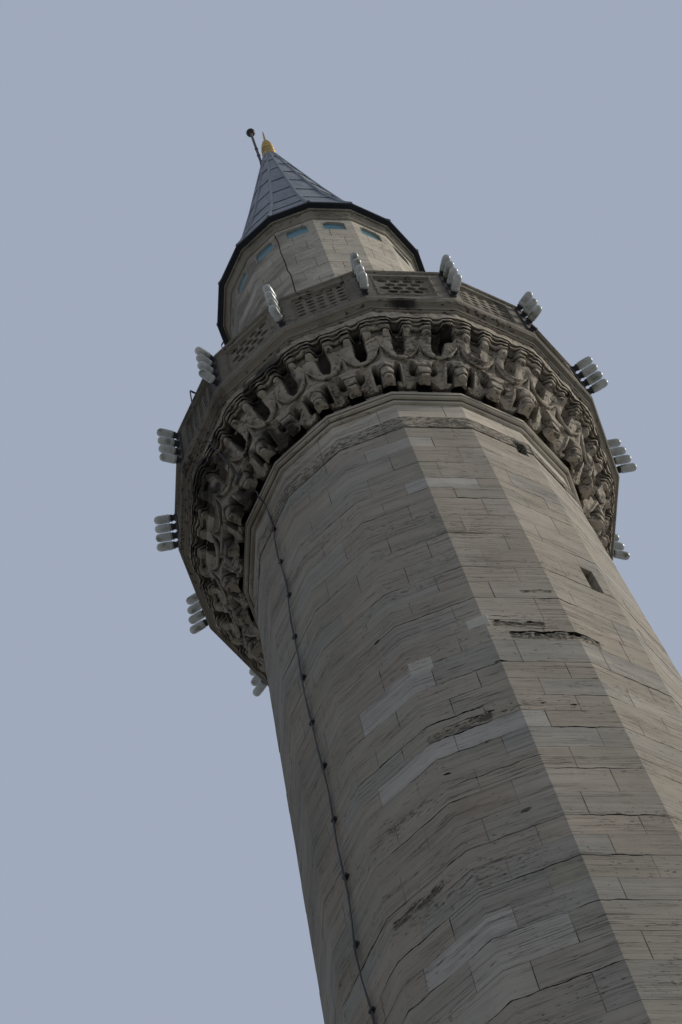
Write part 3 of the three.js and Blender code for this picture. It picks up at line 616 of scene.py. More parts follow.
def turned_profile(profile, sides=SIDES, corner=FIRST_CORNER):
    """A closed outline of (radius at a corner, height), carried round the tower in mitred lengths."""
    clear_selection()
    bpy.ops.mesh.primitive_circle_add(vertices=len(profile), radius=1, fill_type="NOTHING")
    piece = bpy.context.object
    for vertex, (radius, z) in zip(piece.data.vertices, profile):
        vertex.co = around(corner, radius, z)
    bpy.ops.object.mode_set(mode="EDIT")
    bpy.ops.mesh.select_all(action="SELECT")
    bpy.ops.mesh.spin(steps=sides, angle=2 * math.pi, center=(0, 0, 0), axis=(0, 0, 1))
    bpy.ops.mesh.select_all(action="SELECT")
    bpy.ops.mesh.remove_doubles(threshold=0.0001)
    close_outward()
    return piece


def arc(centre, radius, start, end, steps):
    """Points on a round of the outline, with its angles in degrees from straight out."""
    found = []
    for i in range(steps + 1):
        angle = math.radians(start + (end - start) * i / steps)
        found.append((centre[0] + radius * math.cos(angle), centre[1] + radius * math.sin(angle)))
    return found


def moulding(inner, radius, foot, top, rows):
    """A ring's outline: rows go up its outer side, as offsets from that radius and foot."""
    outer = [(radius + out, foot + rise) for out, rise in rows]
    return [(inner, foot), *outer, (inner, top)]


square = math.sqrt(2)
pedestal_profile = moulding(hollow_half, BASE_HALF, BASE_TOP, BASE_CORNICE_TOP, [
    (0.012, 0), (0.012, 0.03), (0.03, 0.036), (0.03, 0.09),
    *arc((0.08, 0.09), 0.05, 180, 90, 5)[1:],
    (0.08, 0.205),
    *arc((0.02, 0.205), 0.05, 10, 80, 4),
    (0.018, 0.265), (0.018, 0.3),
])
pedestal_cornice = turned_profile([(square * r, z) for r, z in pedestal_profile], 4, 45)
set_in_tower(pedestal_cornice, "pedestal_cornice", [carved_stone], ["base_cornice"], 20)

# Transition: the square pedestal grows into sixteen sides by long triangular facets of ashlar.
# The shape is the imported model's own, cut into courses here.
TRANSITION_TOP = 8.3
TRANSITION_COURSE = 0.35
FOOT_RING_TOP = 8.6
STONE_SHIFTS = [4.6, -5.8, 3.2, -3.9]


def copy_of_node(node):
    """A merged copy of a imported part, with each flat side made one face again."""
    clear_selection()
    piece = bpy.data.objects.new(node + "_copy", frame["nodes"][node].data.copy())
    bpy.context.collection.objects.link(piece)
    piece.data.materials.clear()
    open_mesh(piece)
    bpy.ops.mesh.select_all(action="SELECT")
    bpy.ops.mesh.remove_doubles(threshold=0.00008)
    bpy.ops.mesh.dissolve_limited(angle_limit=math.radians(0.4))
    close_mesh()
    return piece


def axial_cuts(pattern):
    """Upright cuts through the axis, one to a facet, at the pattern's shift from the facet's middle."""
    turns = [math.radians(i * FACET_ANGLE + STONE_SHIFTS[pattern]) for i in range(SIDES // 2)]
    return [((0, 0, 0), (math.cos(turn), math.sin(turn), 0)) for turn in turns]


def axial_stone(point, pattern):
    return math.floor((azimuth_of(point) - STONE_SHIFTS[pattern]) / FACET_ANGLE) % SIDES


def faces_outward(face, least_radius):
    middle = face.calc_center_median()
    reach = math.hypot(middle.x, middle.y)
    if reach < least_radius:
        return False
    return (face.normal.x * middle.x + face.normal.y * middle.y) / reach > 0.6


def lay_facets(piece, beds, seed, least_radius=1.02, **more):
    """Lays stones round the tower, on the faces that look outward from beyond the least radius."""
    lay_stones(piece, lambda f: faces_outward(f, least_radius), beds, axial_cuts, axial_stone, seed, **more)


transition = copy_of_node("transition")
lay_facets(transition, [BASE_CORNICE_TOP + TRANSITION_COURSE * i for i in range(1, 8)], 37, 1.0)
set_in_tower(transition, "transition_ashlar", [ashlar, mortar, painted_gap_shadow], ["transition"])

# Foot ring: one thick roll between two fillets, where the transition ends and the shaft begins.
# It is carved from the pedestal cornice's stone, in straight mitred lengths.
HOLLOW_RADIUS = 0.87
RING_FOOT = 21.19
RING_RADIUS = 1.171
SHAFT_TAPER = 0.0071


def shaft_radius(z):
    return RING_RADIUS + SHAFT_TAPER * (RING_FOOT - z)


shaft_foot = shaft_radius(FOOT_RING_TOP)
foot_ring = turned_profile(moulding(HOLLOW_RADIUS, shaft_foot, TRANSITION_TOP, FOOT_RING_TOP, [
    (0.045, 0), (0.045, 0.035),
    *arc((0.022, 0.125), 0.088, -80, 80, 10),
    (0.03, 0.225), (0.03, 0.262), (0.012, 0.27), (0.008, 0.3),
]))
set_in_tower(foot_ring, "shaft_foot_ring", [carved_stone], ["foot_ring"], 20)

# Shaft: tapering ashlar of sixteen sides, whose long stones turn each corner and break joint by courses.
# The beds that the photograph shows open are kept, with its cracks, chips, holes and newer pale stones.
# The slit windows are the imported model's own.
rough_tones = bed_tones((0.3, 0.262, 0.2), [(0.0, 0.92), (1.0, 1.08)])
rough_stone = lime_stone("rough_band_stone", rough_tones, 0.4, 0.85, 0.6, 0.014, 40.0, 0.6, 0.69)
OPEN_BEDS = [
    12.32, 12.91, 13.39, 13.847, 14.424, 14.969, 15.423, 15.918, 16.975, 17.54, 18.2, 18.936, 19.383
]
SHAFT_BEDS = {
    "shaft_lower": [8.87, 9.14, 9.43, 9.7, 9.99, 10.27, 10.56, 10.83, 11.12, 11.4, 11.68, 11.954, 12.32],
    "shaft_middle": [
        12.91, 13.15, 13.39, 13.62, 13.847, 14.13, 14.424, 14.7, 14.969, 15.2, 15.423, 15.67, 15.918, 16.26
    ],
    "shaft_upper": [16.975, 17.26, 17.54, 17.87, 18.2, 18.57, 18.936, 19.16, 19.383, 19.75, 20.117, 20.355],
}

# A newer stone is given by a point in it: (azimuth, height).
NEWER_STONES = [(-23, 16.1), (3.5, 15.12), (-14, 13.03), (-18, 15.16)]

# A crack is (first azimuth, last azimuth, height, thickness, depth).
CRACKS = [
    (15.5, 41, 16.402, 0.02, 0.018),
    (21, 30, 16.46, 0.012, 0.012),
    (-13, 4.6, 15.2, 0.016, 0.014),
    (-8, 4.4, 15.33, 0.012, 0.014),
    (-3, 4.6, 15.43, 0.014, 0.014),
    (9.5, 13.6, 15.93, 0.02, 0.045),
    (12, 25, 16.6, 0.01, 0.01),
    (-11, 13, 14.6, 0.012, 0.016),
    (13, 21, 16.66, 0.012, 0.01),
    (16, 27, 16.53, 0.01, 0.01),
]

# A worn patch is (first azimuth, last azimuth, height of its middle, its own height, depth).
WORN_PATCHES = [
    (16, 40.5, 16.335, 0.13, 0.018),
    (-12.5, 4.6, 15.26, 0.12, 0.014),
    (12.5, 27, 16.525, 0.1, 0.006),
    (24, 33, 17.1, 0.06, 0.008),
    (-33, -18, 13.72, 0.1, 0.016),
]

# A hole is (azimuth, height, size).
HOLES = [
    (7.5, 15.26, 0.016), (1.0, 14.96, 0.012), (-10.0, 14.76, 0.02), (4.0, 14.04, 0.03),
    (-17.5, 16.98, 0.024), (4.6, 15.32, 0.02), (17.0, 15.3, 0.014), (24.5, 15.28, 0.018),
    (14.5, 16.58, 0.022), (19.5, 16.6, 0.018), (23.0, 16.57, 0.02),
]
CUTTER_PROUD = 0.05
WASHED_THICKNESS = 0.01
WASHED_DEPTH = 0.022


def facet_reach(azimuth, corner_radius):
    """How far the facets reach at an azimuth, when their corners are at that radius."""
    turn = (azimuth + FIRST_CORNER) % FACET_ANGLE - FIRST_CORNER
    return corner_radius * TO_APOTHEM / math.cos(math.radians(turn))


def deep_net(columns, rows):
    """A flat net of faces with a second one above it, closed at the edges, to be given its shape."""
    clear_selection()
    bpy.ops.mesh.primitive_grid_add(x_subdivisions=columns, y_subdivisions=rows, size=2)
    bpy.ops.object.mode_set(mode="EDIT")
    bpy.ops.mesh.select_all(action="SELECT")
    bpy.ops.mesh.extrude_region_move(TRANSFORM_OT_translate={"value": (0, 0, 1)})
    close_mesh()
    return bpy.context.object


def wavy_slit(start, end, z, thickness, depth, seed):
    """A ragged wedge along a bed, to be cut out of the shaft."""
    drawn = random.Random(seed)
    columns = max(4, round((end - start) / 0.7))
    slit = deep_net(columns, 1)
    ragged = [(drawn.random(), drawn.random(), drawn.random()) for _ in range(columns + 1)]
    for vertex in slit.data.vertices:
        column = round((vertex.co.x + 1) / 2 * columns)
        open_share = min(1.0, 0.25 + 4 * min(column, columns - column) / columns)
        low, high, deep = ragged[column]
        half = thickness / 2 * open_share * (0.35 + 1.1 * (high if vertex.co.z > 0.5 else low))
        azimuth = start + (end - start) * column / columns
        reach = CUTTER_PROUD if vertex.co.y > 0 else -depth * (0.5 + 0.5 * deep)
        sag = 0.006 * math.sin(azimuth * 0.9 + seed)
        height = z + sag + (half if vertex.co.z > 0.5 else -half)
        vertex.co = around(azimuth, facet_reach(azimuth, shaft_radius(z) + reach), height)
    open_mesh(slit)
    close_outward()
    return slit


def worn_patch(start, end, z, height, depth, seed):
    """A shallow loss of the face with an uneven bottom, to be cut out of the shaft."""
    drawn = random.Random(seed)
    columns = round((end - start) / 0.8)
    rows = max(4, round(height / 0.017))
    patch = deep_net(columns, rows)
    floor_of = {}
    for vertex in patch.data.vertices:
        column = round((vertex.co.x + 1) / 2 * columns)
        row = round((vertex.co.y + 1) / 2 * rows)
        on_edge = column in (0, columns) or row in (0, rows)
        azimuth = start + (end - start) * column / columns
        place = z + height * (row / rows - 0.5) + 0.008 * math.sin(azimuth * 0.8 + seed)
        if vertex.co.z > 0.5:
            own = CUTTER_PROUD
        else:
            key = (column, row)
            if key not in floor_of:
                floor_of[key] = 0.004
                if not on_edge:
                    floor_of[key] = -depth * (row / rows) ** 1.3 * (drawn.random() * 1.3 - 0.1)
            own = floor_of[key]
        vertex.co = around(azimuth, facet_reach(azimuth, shaft_radius(place) + own), place)
    open_mesh(patch)
    close_outward()
    return patch


def ragged_hole(azimuth, z, size):
    """A lump of broken stone, to be cut out of the shaft."""
    clear_selection()
    place = around(azimuth, facet_reach(azimuth, shaft_radius(z)), z)
    bpy.ops.mesh.primitive_ico_sphere_add(subdivisions=2, radius=size, location=place)
    lump = bpy.context.object
    drawn = random.Random(round(1000 * z))
    for vertex in lump.data.vertices:
        vertex.co *= 0.7 + 0.6 * drawn.random()
        vertex.co.z *= 0.7
    bpy.ops.object.transform_apply(location=True, rotation=True, scale=True)
    return lump


shaft_finishes = [ashlar, mortar, painted_gap_shadow, rough_stone]
for length, beds in SHAFT_BEDS.items():
    drum = copy_of_node(length)
    low, high = (corner[2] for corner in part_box(length))
    pale = [around(azimuth, shaft_radius(z), z) for azimuth, z in NEWER_STONES if low < z < high]
    lay_facets(drum, beds, 41 + len(beds), open_beds=OPEN_BEDS, pale=pale)
    worn = [worn_patch(*patch, 50 + i) for i, patch in enumerate(WORN_PATCHES) if low < patch[2] < high]
    cracks = [wavy_slit(*crack, number) for number, crack in enumerate(CRACKS) if low < crack[2] < high]
    washed_beds = []
    for number, z in enumerate(beds):
        drawn = random.Random(300 + number + len(beds))
        azimuth = -180 + 30 * drawn.random()
        while azimuth < 140 and z in OPEN_BEDS:
            reach = 8 + 24 * drawn.random()
            washed_bed = (azimuth, azimuth + reach, z, WASHED_THICKNESS, WASHED_DEPTH, number + azimuth)
            washed_beds.append(wavy_slit(*washed_bed))
            azimuth += reach + 4 + 26 * drawn.random()
    holes = [ragged_hole(*hole) for hole in HOLES if low < hole[1] < high]
    for finish in shaft_finishes:
        drum.data.materials.append(finish)
    # Worn patches take the rough stone; cracks, washed beds and holes take the painted shadow of the open
    # joints.
    for losses, finish_number in ((worn, 3), (cracks, 2), (washed_beds, 2), (holes, 2)):
        if losses:
            loss = joined(losses)
            for finish in shaft_finishes:
                loss.data.materials.append(finish)
            loss.data.polygons.foreach_set("material_index", [finish_number] * len(loss.data.polygons))
            cut_away(drum, loss)
    set_in_tower(drum, length + "_ashlar", shaft_finishes, [length])

# Mended places: two small blocks of newer stone let into worn ones, set flush in fresh mortar.
# They keep their sawn face, paler than the old stone round them.


def turned_copy(piece, azimuth):
    """A copy with its own mesh, turned about the tower's axis."""
    clear_selection()
    made = bpy.data.objects.new(piece.name, piece.data.copy())
    bpy.context.collection.objects.link(made)
    made.data.transform(Matrix.Rotation(math.radians(azimuth), 4, "Z"))
    return made


def discard(*pieces):
    for piece in pieces:
        bpy.data.objects.remove(piece, do_unlink=True)


# A mended place is (azimuth, foot, top, width).
MENDED = [(-8, 16.15, 16.35, 0.13), (9.5, 16.5, 16.66, 0.12)]
newer_tones = bed_tones((0.37, 0.335, 0.28), [(0.0, 1.0), (1.0, 1.0)])
newer_stone = lime_stone("newer_sawn_stone", newer_tones, 0.2, 0.4, 0.3, 0.002, painted_side_shade=0.4)
newer_blocks = []
for azimuth, foot, top, width in MENDED:
    facet = FACET_ANGLE * round(azimuth / FACET_ANGLE)
    face = shaft_radius(foot) * TO_APOTHEM + 0.001
    middle = face * math.tan(math.radians(azimuth - facet))
    stone = bevelled(block(width, -face, 0.03 - face, foot, top, middle), 0.002, 1)
    newer_blocks.append(turned_copy(stone, facet))
    discard(stone)
set_in_tower(joined(newer_blocks), "newer_stone_blocks", [newer_stone])

# Rough band and neck: a course with a quarry face, now deeply pitted, under one smooth course.
# The vent slit crosses both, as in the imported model.


def eroded(piece, size, depth):
    """Weathers a fine net of faces by a cloud of hollows of that size."""
    hollows = bpy.data.textures.new(piece.name + "_hollows", "CLOUDS")
    hollows.noise_scale = size
    hollows.noise_depth = 3
    work_on(piece)
    modifier = piece.modifiers.new("weathering", "DISPLACE")
    modifier.texture = hollows
    modifier.texture_coords = "LOCAL"
    modifier.strength = depth
    bpy.ops.object.modifier_apply(modifier=modifier.name)


band = copy_of_node("rough_band_course")
lay_facets(band, [], 61)
open_mesh(band)
choose(band, lambda f: faces_outward(f, 1.02))
bpy.ops.mesh.subdivide(number_cuts=5)
choose(band, lambda f: faces_outward(f, 1.02) and f.calc_area() > 0.0006)
bpy.ops.mesh.subdivide(number_cuts=1)
close_mesh()
eroded(band, 0.05, 0.016)
band_finishes = [rough_stone, mortar, painted_gap_shadow]
set_in_tower(band, "rough_band_stones", band_finishes, ["rough_band_course"], 25)
neck = copy_of_node("neck_course")
lay_facets(neck, [], 67)
washed_tones = bed_tones((0.375, 0.328, 0.255), CARVED_SHADES)
washed_stone = lime_stone("washed_neck_stone", washed_tones, 0.7, 0.6, 0.5, painted_side_shade=1.1, soundness=0.82)
set_in_tower(neck, "neck_stones", [washed_stone, mortar, painted_gap_shadow], ["neck_course"])

# Ring moulding: two bright fillets with a sunk line between them, under a cove that starts the corbelling.
# It is cut in straight mitred lengths of the same washed stone as the neck.
RING_TOP = 21.31
ring_moulding = turned_profile(moulding(HOLLOW_RADIUS, RING_RADIUS, RING_FOOT, RING_TOP, [
    (-0.014, 0), (-0.012, 0.03), (-0.002, 0.03), (0.002, 0.002), (0.02, 0.003),
    *arc((0.018, 0.016), 0.011, -60, 60, 4),
    (0.022, 0.06), (0.032, 0.06), (0.035, 0.036), (0.05, 0.037),
    *arc((0.049, 0.05), 0.011, -60, 60, 4),
    (0.05, 0.09), (0.057, 0.09), (0.059, 0.075), (0.064, 0.076), (0.064, 0.12),
]))
set_in_tower(ring_moulding, "ring_moulding_fillets", [washed_stone], ["ring_moulding"], 20)

# Muqarnas: three tiers of corbels carved from courses of lime stone, two cells to a facet. Each tier is
# carved as one facet's width of fine net, then carried round the sixteen sides and closed behind.
TIER_TOPS = [21.64, 21.98, 22.26]
CELL = math.radians(FACET_ANGLE / 2)


def ease(value, low, high):
    share = min(1.0, max(0.0, (value - low) / (high - low)))
    return share * share * (3 - 2 * share)


def choose_rim(piece, z):
    """Selects the open edges that lie at that height."""
    choose(piece, lambda e: e.is_boundary and all(abs(v.co.z - z) < 0.0006 for v in e.verts), "EDGE")


def carved_tier(rows, carve, foot, top, foot_radius):
    """A ring of carving: for a place across the facet, -1 to 1, and a row, carve gives radius, rise, shade
    and soot.
    """
    clear_selection()
    bpy.ops.mesh.primitive_grid_add(x_subdivisions=92, y_subdivisions=rows - 1, size=2)
    piece = bpy.context.object
    soot_and_shade = piece.data.attributes.new("soot_and_shade", "FLOAT", "POINT")
    for vertex in piece.data.vertices:
        across = vertex.co.x
        row = round((vertex.co.y + 1) / 2 * (rows - 1))
        radius, rise, soot_and_shade.data[vertex.index].value = carve(across, row)
        azimuth = across * FACET_ANGLE / 2
        flat = TO_APOTHEM / math.cos(math.radians(azimuth))
        vertex.co = around(azimuth, radius * flat, foot + rise)
    bpy.ops.object.mode_set(mode="EDIT")
    bpy.ops.mesh.select_all(action="SELECT")
    turn = 2 * math.pi * (SIDES - 1) / SIDES
    bpy.ops.mesh.spin(steps=SIDES - 1, dupli=True, angle=turn, center=(0, 0, 0), axis=(0, 0, 1))
    bpy.ops.mesh.select_all(action="SELECT")
    bpy.ops.mesh.remove_doubles(threshold=0.0002)
    choose_rim(piece, foot)
    bpy.ops.mesh.extrude_region_move()
    inward = HOLLOW_RADIUS / foot_radius
    bpy.ops.transform.resize(value=(inward, inward, 1), center_override=(0, 0, 0))
    bpy.ops.mesh.extrude_region_move(TRANSFORM_OT_translate={"value": (0, 0, top - foot)})
    choose_rim(piece, top)
    bpy.ops.mesh.bridge_edge_loops()
    close_outward()
    return piece


# Lower tier: a pendant hangs free at each corner and each facet's middle, before a deep dark hollow.
# Two stepped blocks widen above it, and between pendants stand shells with a slot cut beside each corner.
# A row of a pendant is (radius, rise, half its width), and painted shade, with some soot, darkens the hollows
# where they are deepest.
PENDANT = [
    (1.222, 0.0, 0.058),
    (1.2, 0.008, 0.058),
    (1.196, 0.07, 0.058),
    (1.2, 0.15, 0.058),
    (1.225, 0.185, 0.054),
    (1.25, 0.18, 0.05),
    (1.26, 0.14, 0.048),
    (1.263, 0.085, 0.046),
    (1.266, 0.064, 0.046),
    (1.3, 0.058, 0.041),
    (1.343, 0.054, 0.034),
    (1.349, 0.058, 0.034),
    (1.351, 0.085, 0.036),
    (1.342, 0.09, 0.037),
    (1.342, 0.098, 0.04),
    (1.362, 0.1, 0.043),
    (1.366, 0.105, 0.044),
    (1.372, 0.2, 0.046),
    (1.36, 0.206, 0.047),
    (1.36, 0.215, 0.052),
    (1.38, 0.217, 0.056),
    (1.384, 0.222, 0.057),
    (1.387, 0.27, 0.062),
    (1.387, 0.285, 0.072),
    (1.387, 0.3, 0.085),
    (1.387, 0.315, 0.1),
    (1.387, 0.33, 0.115),
]
# Painted shade with some soot, by row: the hollow under each pendant and the undersides of its steps.
PENDANT_SOOT_AND_SHADE = {1: 0.8, 2: 1, 3: 1, 4: 1, 5: 1, 6: 1, 7: 0.8, 13: 0.9, 14: 0.9, 18: 0.9, 19: 0.9}
SHELL_RISES = [0, 0.03, 0.072, 0.09, 0.07, 0.074, 0.086, 0.094, 0.102, 0.11]
SHELL_FOOT = 0.072
LOWER_HEIGHT = 0.33
LOWER_REACH = 1.3


def carve_lower(across, row):
    angle = abs(across) * CELL
    from_middle = angle * LOWER_REACH
    from_corner = (CELL - angle) * LOWER_REACH
    to_pendant = min(from_middle, from_corner)
    if row < len(SHELL_RISES):
        rise = SHELL_RISES[row]
    else:
        last = len(SHELL_RISES) - 1
        left = LOWER_HEIGHT - SHELL_RISES[last]
        rise = SHELL_RISES[last] + left * (row - last) / (len(PENDANT) - 1 - last)
    raised = 0.08 * (1 - ease(from_middle, 0.05, 0.12)) + 0.03 * (1 - ease(from_corner, 0.05, 0.1))
    raised *= ease(row, 2, 4) * (1 - rise / LOWER_HEIGHT)
    rise += raised
    shell = 1.215 if row == 3 else 1.222
    # Painted shade on the soffit at the back of the hollow.
    soot_and_shade = 1.0 if row == 3 else 0.0
    if row > 3:
        shell = 1.239 + 0.117 * max(0.0, (rise - SHELL_FOOT) / 0.258) ** 0.9
        swelling = ease(rise, 0.05, 0.12) * (1 - ease(rise, 0.24, 0.31))
        shell += 0.03 * (1 - ease(from_corner, 0.1, 0.21)) * swelling
        # The slots beside the corners and the notches take painted shade.
        slot = ease(from_corner, 0.046, 0.052) * (1 - ease(from_corner, 0.09, 0.097)) * ease(rise, 0.1, 0.125)
        slot_soot_and_shade = slot * (1 - ease(rise, 0.3, 0.312))
        slot *= 1 - ease(rise, 0.285, 0.3)
        notch_top = 0.3 - 0.9 * abs(from_middle - 0.072)
        notch = ease(from_middle, 0.05, 0.056) * (1 - ease(from_middle, 0.09, 0.096))
        notch *= ease(rise, 0.19, 0.21) * (1 - ease(rise, notch_top - 0.01, notch_top + 0.002))
        ridge = ease(from_corner, 0.094, 0.1) * (1 - ease(from_corner, 0.112, 0.118)) * ease(rise, 0.05, 0.1)
        shell += 0.02 * ridge * (1 - ease(rise, 0.27, 0.3)) - 0.1 * slot - 0.07 * notch
        soot_and_shade = max(slot_soot_and_shade, notch)
    radius, pendant_rise, half_width = PENDANT[row]
    if from_corner < from_middle:
        radius -= 0.016 * min(1.0, to_pendant / half_width) ** 2 * ease(row, 7, 9)
    on_pendant = 1 - ease(to_pendant, half_width - 0.003, half_width + 0.003)
    return (
        shell + (radius - shell) * on_pendant,
        rise + (pendant_rise - rise) * on_pendant,
        soot_and_shade + (PENDANT_SOOT_AND_SHADE.get(row, 0.0) - soot_and_shade) * on_pendant,
    )


lower_tier = carved_tier(len(PENDANT), carve_lower, RING_TOP, TIER_TOPS[0], 1.222)
eroded(lower_tier, 0.045, 0.014)
eroded(lower_tier, 0.13, 0.018)

# Middle tier: a cup over each shell, its lip a bright rounded bead that climbs to a cusp over each pendant.
# A groove is cut up behind the bead, and the cup's back is pierced by a deep dark slot.
# A row of the lip is (rise, reach outward), and the other rows are shares of the height below and above it.
LIP = [
    (0.004, -0.038),
    (0.022, -0.034),
    (0.024, -0.029),
    (0.006, -0.026),
    (-0.006, -0.023),
    (-0.012, -0.016),
    (-0.013, -0.009),
    (-0.008, -0.002),
    (0.001, 0.002),
    (0.011, -0.001),
    (0.02, -0.008),
    (0.028, -0.02),
    (0.031, -0.036),
]
# Painted shade, with some soot, by row of the lip: under the bead and in the groove behind it.
LIP_SOOT_AND_SHADE = {1: 0.9, 2: 1.0, 3: 0.8, 12: 0.4}
BELOW_LIP = [0, 0.35, 0.7, 0.95]
ABOVE_LIP = [0.05, 0.11, 0.17, 0.24, 0.31, 0.38, 0.45, 0.52, 0.59, 0.66, 0.73, 0.8, 0.87, 0.93, 0.975, 1.0]
MIDDLE_REACH = 1.42


def carve_middle(across, row):
    height = TIER_TOPS[1] - TIER_TOPS[0]
    angle = abs(across) * CELL
    from_middle = abs(angle - CELL / 2) * MIDDLE_REACH
    half_cell = CELL / 2 * MIDDLE_REACH
    share = min(1.0, from_middle / half_cell)
    lip = 0.02 + 0.2 * share**2.5
    lip_radius = 1.404 + 0.2 * lip
    spandrel = 0.04 * (1 - ease(half_cell - from_middle, 0.0, 0.026))
    if row < len(BELOW_LIP):
        foot_radius = 1.36 + 0.026 * share
        radius = foot_radius + (lip_radius - 0.038 - foot_radius) * BELOW_LIP[row] ** 2
        # The cup's wall grows darker up to the lip, as painted shade under the bead.
        return radius + spandrel * BELOW_LIP[row], lip * BELOW_LIP[row], 0.3 * BELOW_LIP[row]
    row -= len(BELOW_LIP)
    if row < len(LIP):
        up, out = LIP[row]
        return lip_radius + out, lip + up, LIP_SOOT_AND_SHADE.get(row, 0.0)
    k = ABOVE_LIP[row - len(LIP)]
    start = lip + 0.031
    rise = start + (height - start) * k
    radius = (lip_radius - 0.044) * (1 - k) + 1.468 * k
    fold = abs(from_middle - 0.075) / 0.075
    radius -= 0.03 * math.sin(math.pi * k) * min(1.0, fold)
    # The deep slot in the cup's back is darkened as painted shade.
    slot_half = 0.042 * math.sqrt(max(0.0, 1 - (min(0.0, rise - 0.25) / 0.1) ** 2))
    slot = (1 - ease(from_middle, slot_half - 0.004, slot_half + 0.006)) * ease(slot_half, 0.002, 0.008)
    return radius - 0.12 * slot * (1 - ease(rise, 0.325, 0.339)), rise, slot


middle_rows = len(BELOW_LIP) + len(LIP) + len(ABOVE_LIP)
middle_tier = carved_tier(middle_rows, carve_middle, TIER_TOPS[0], TIER_TOPS[1], 1.374)
eroded(middle_tier, 0.05, 0.016)
eroded(middle_tier, 0.15, 0.022)

# Upper tier: small rounded knobs, two to each cup, under fillets that sway in and out along the wall.
# A row is (rise, radius at a knob, radius between two knobs, painted shade and soot between them, painted
# shade and soot all along).
SWAYING = [
    (0.0, 1.466, 1.466, 0.0, 0.0),
    (0.005, 1.466, 1.462, 0.3, 0.0),
    (0.009, 1.472, 1.41, 1.0, 0.0),
    (0.011, 1.502, 1.4, 1.0, 0.0),
    (0.017, 1.511, 1.4, 1.0, 0.0),
    (0.045, 1.514, 1.4, 1.0, 0.0),
    (0.07, 1.514, 1.405, 1.0, 0.0),
    (0.082, 1.504, 1.415, 1.0, 0.4),
    (0.098, 1.502, 1.43, 1.0, 1.0),
    (0.09, 1.51, 1.45, 0.8, 1.0),
    (0.084, 1.516, 1.466, 0.5, 0.3),
    (0.086, 1.53, 1.478, 0.0, 0.0),
    (0.106, 1.533, 1.482, 0.0, 0.0),
    (0.134, 1.528, 1.479, 0.8, 0.9),
    (0.124, 1.536, 1.492, 0.8, 1.0),
    (0.116, 1.548, 1.508, 0.0, 0.0),
    (0.136, 1.551, 1.512, 0.0, 0.0),
    (0.166, 1.547, 1.509, 0.6, 0.9),
    (0.156, 1.554, 1.524, 0.6, 1.0),
    (0.148, 1.564, 1.54, 0.0, 0.0),
    (0.168, 1.567, 1.544, 0.0, 0.0),
    (0.198, 1.562, 1.542, 0.5, 0.8),
    (0.188, 1.568, 1.552, 0.5, 0.9),
    (0.18, 1.575, 1.565, 0.0, 0.0),
    (0.205, 1.577, 1.57, 0.0, 0.0),
    (0.235, 1.577, 1.573, 0.0, 0.0),
    (0.262, 1.578, 1.577, 0.0, 0.0),
    (0.28, 1.578, 1.578, 0.0, 0.0),
]
UPPER_REACH = 1.5


def carve_upper(across, row):
    rise, at_knob, between, soot_and_shade_between, soot_and_shade_along = SWAYING[row]
    angle = abs(across) * CELL
    from_knob = abs((angle % (CELL / 2)) - CELL / 4) * UPPER_REACH
    half_pitch = CELL / 4 * UPPER_REACH
    sway = 0.5 + 0.5 * math.cos(math.pi * from_knob / half_pitch)
    sway = ease(sway, 0.05, 0.8)
    if abs(angle - CELL / 2) > CELL / 4:
        between = at_knob - 0.4 * (at_knob - between)
        soot_and_shade_between *= 0.4
    elif 6 < row < 17:
        # In the middle of a cup the wall between the knobs is set back and darkened in full, as painted
        # shade.
        between -= 0.03
        soot_and_shade_between = 1.0
    if 1 < row < 11:
        sway += (1 - ease(from_knob, 0.026, 0.034) - sway) * (1 - ease(row, 7, 10))
        at_knob -= 0.01 * min(1.0, from_knob / 0.028) ** 2
    return between + (at_knob - between) * sway, rise, soot_and_shade_between + (soot_and_shade_along - soot_and_shade_between) * sway


upper_tier = carved_tier(len(SWAYING), carve_upper, TIER_TOPS[1], TIER_TOPS[2], 1.466)
eroded(upper_tier, 0.045, 0.02)
eroded(upper_tier, 0.11, 0.022)

# Wear on the corbelling: the cups are filled to different depths with soot and dust, and the darkening in
# each, painted shade with that soot, is less the fuller the cup. One cup to the right of the front has lost
# its back to a round hole, painted black inside as shade. The side away from the lamp takes painted shade in
# clouds, the lit right side less.
# A cup's number counts from the front, two to a facet.
HOLE_AZIMUTH = 31.0
HOLE_HEIGHT = 22.02
HOLE_HALF_WIDTH = 0.062
HOLE_HALF_HEIGHT = 0.085
HOLE_DEPTH = 0.14
CUP_FACE = 1.455
CUP_DEPTHS = {-1: 0.8, 0: 1.0, 1: 0.7, 2: 0.8, 3: 0.35, 4: 0.5}
drawn = random.Random(211)
cup_depths = [drawn.uniform(0.35, 1.0) for _ in range(2 * SIDES)]


def move_out(vertex, before, after):
    vertex.co.x *= after / before
    vertex.co.y *= after / before


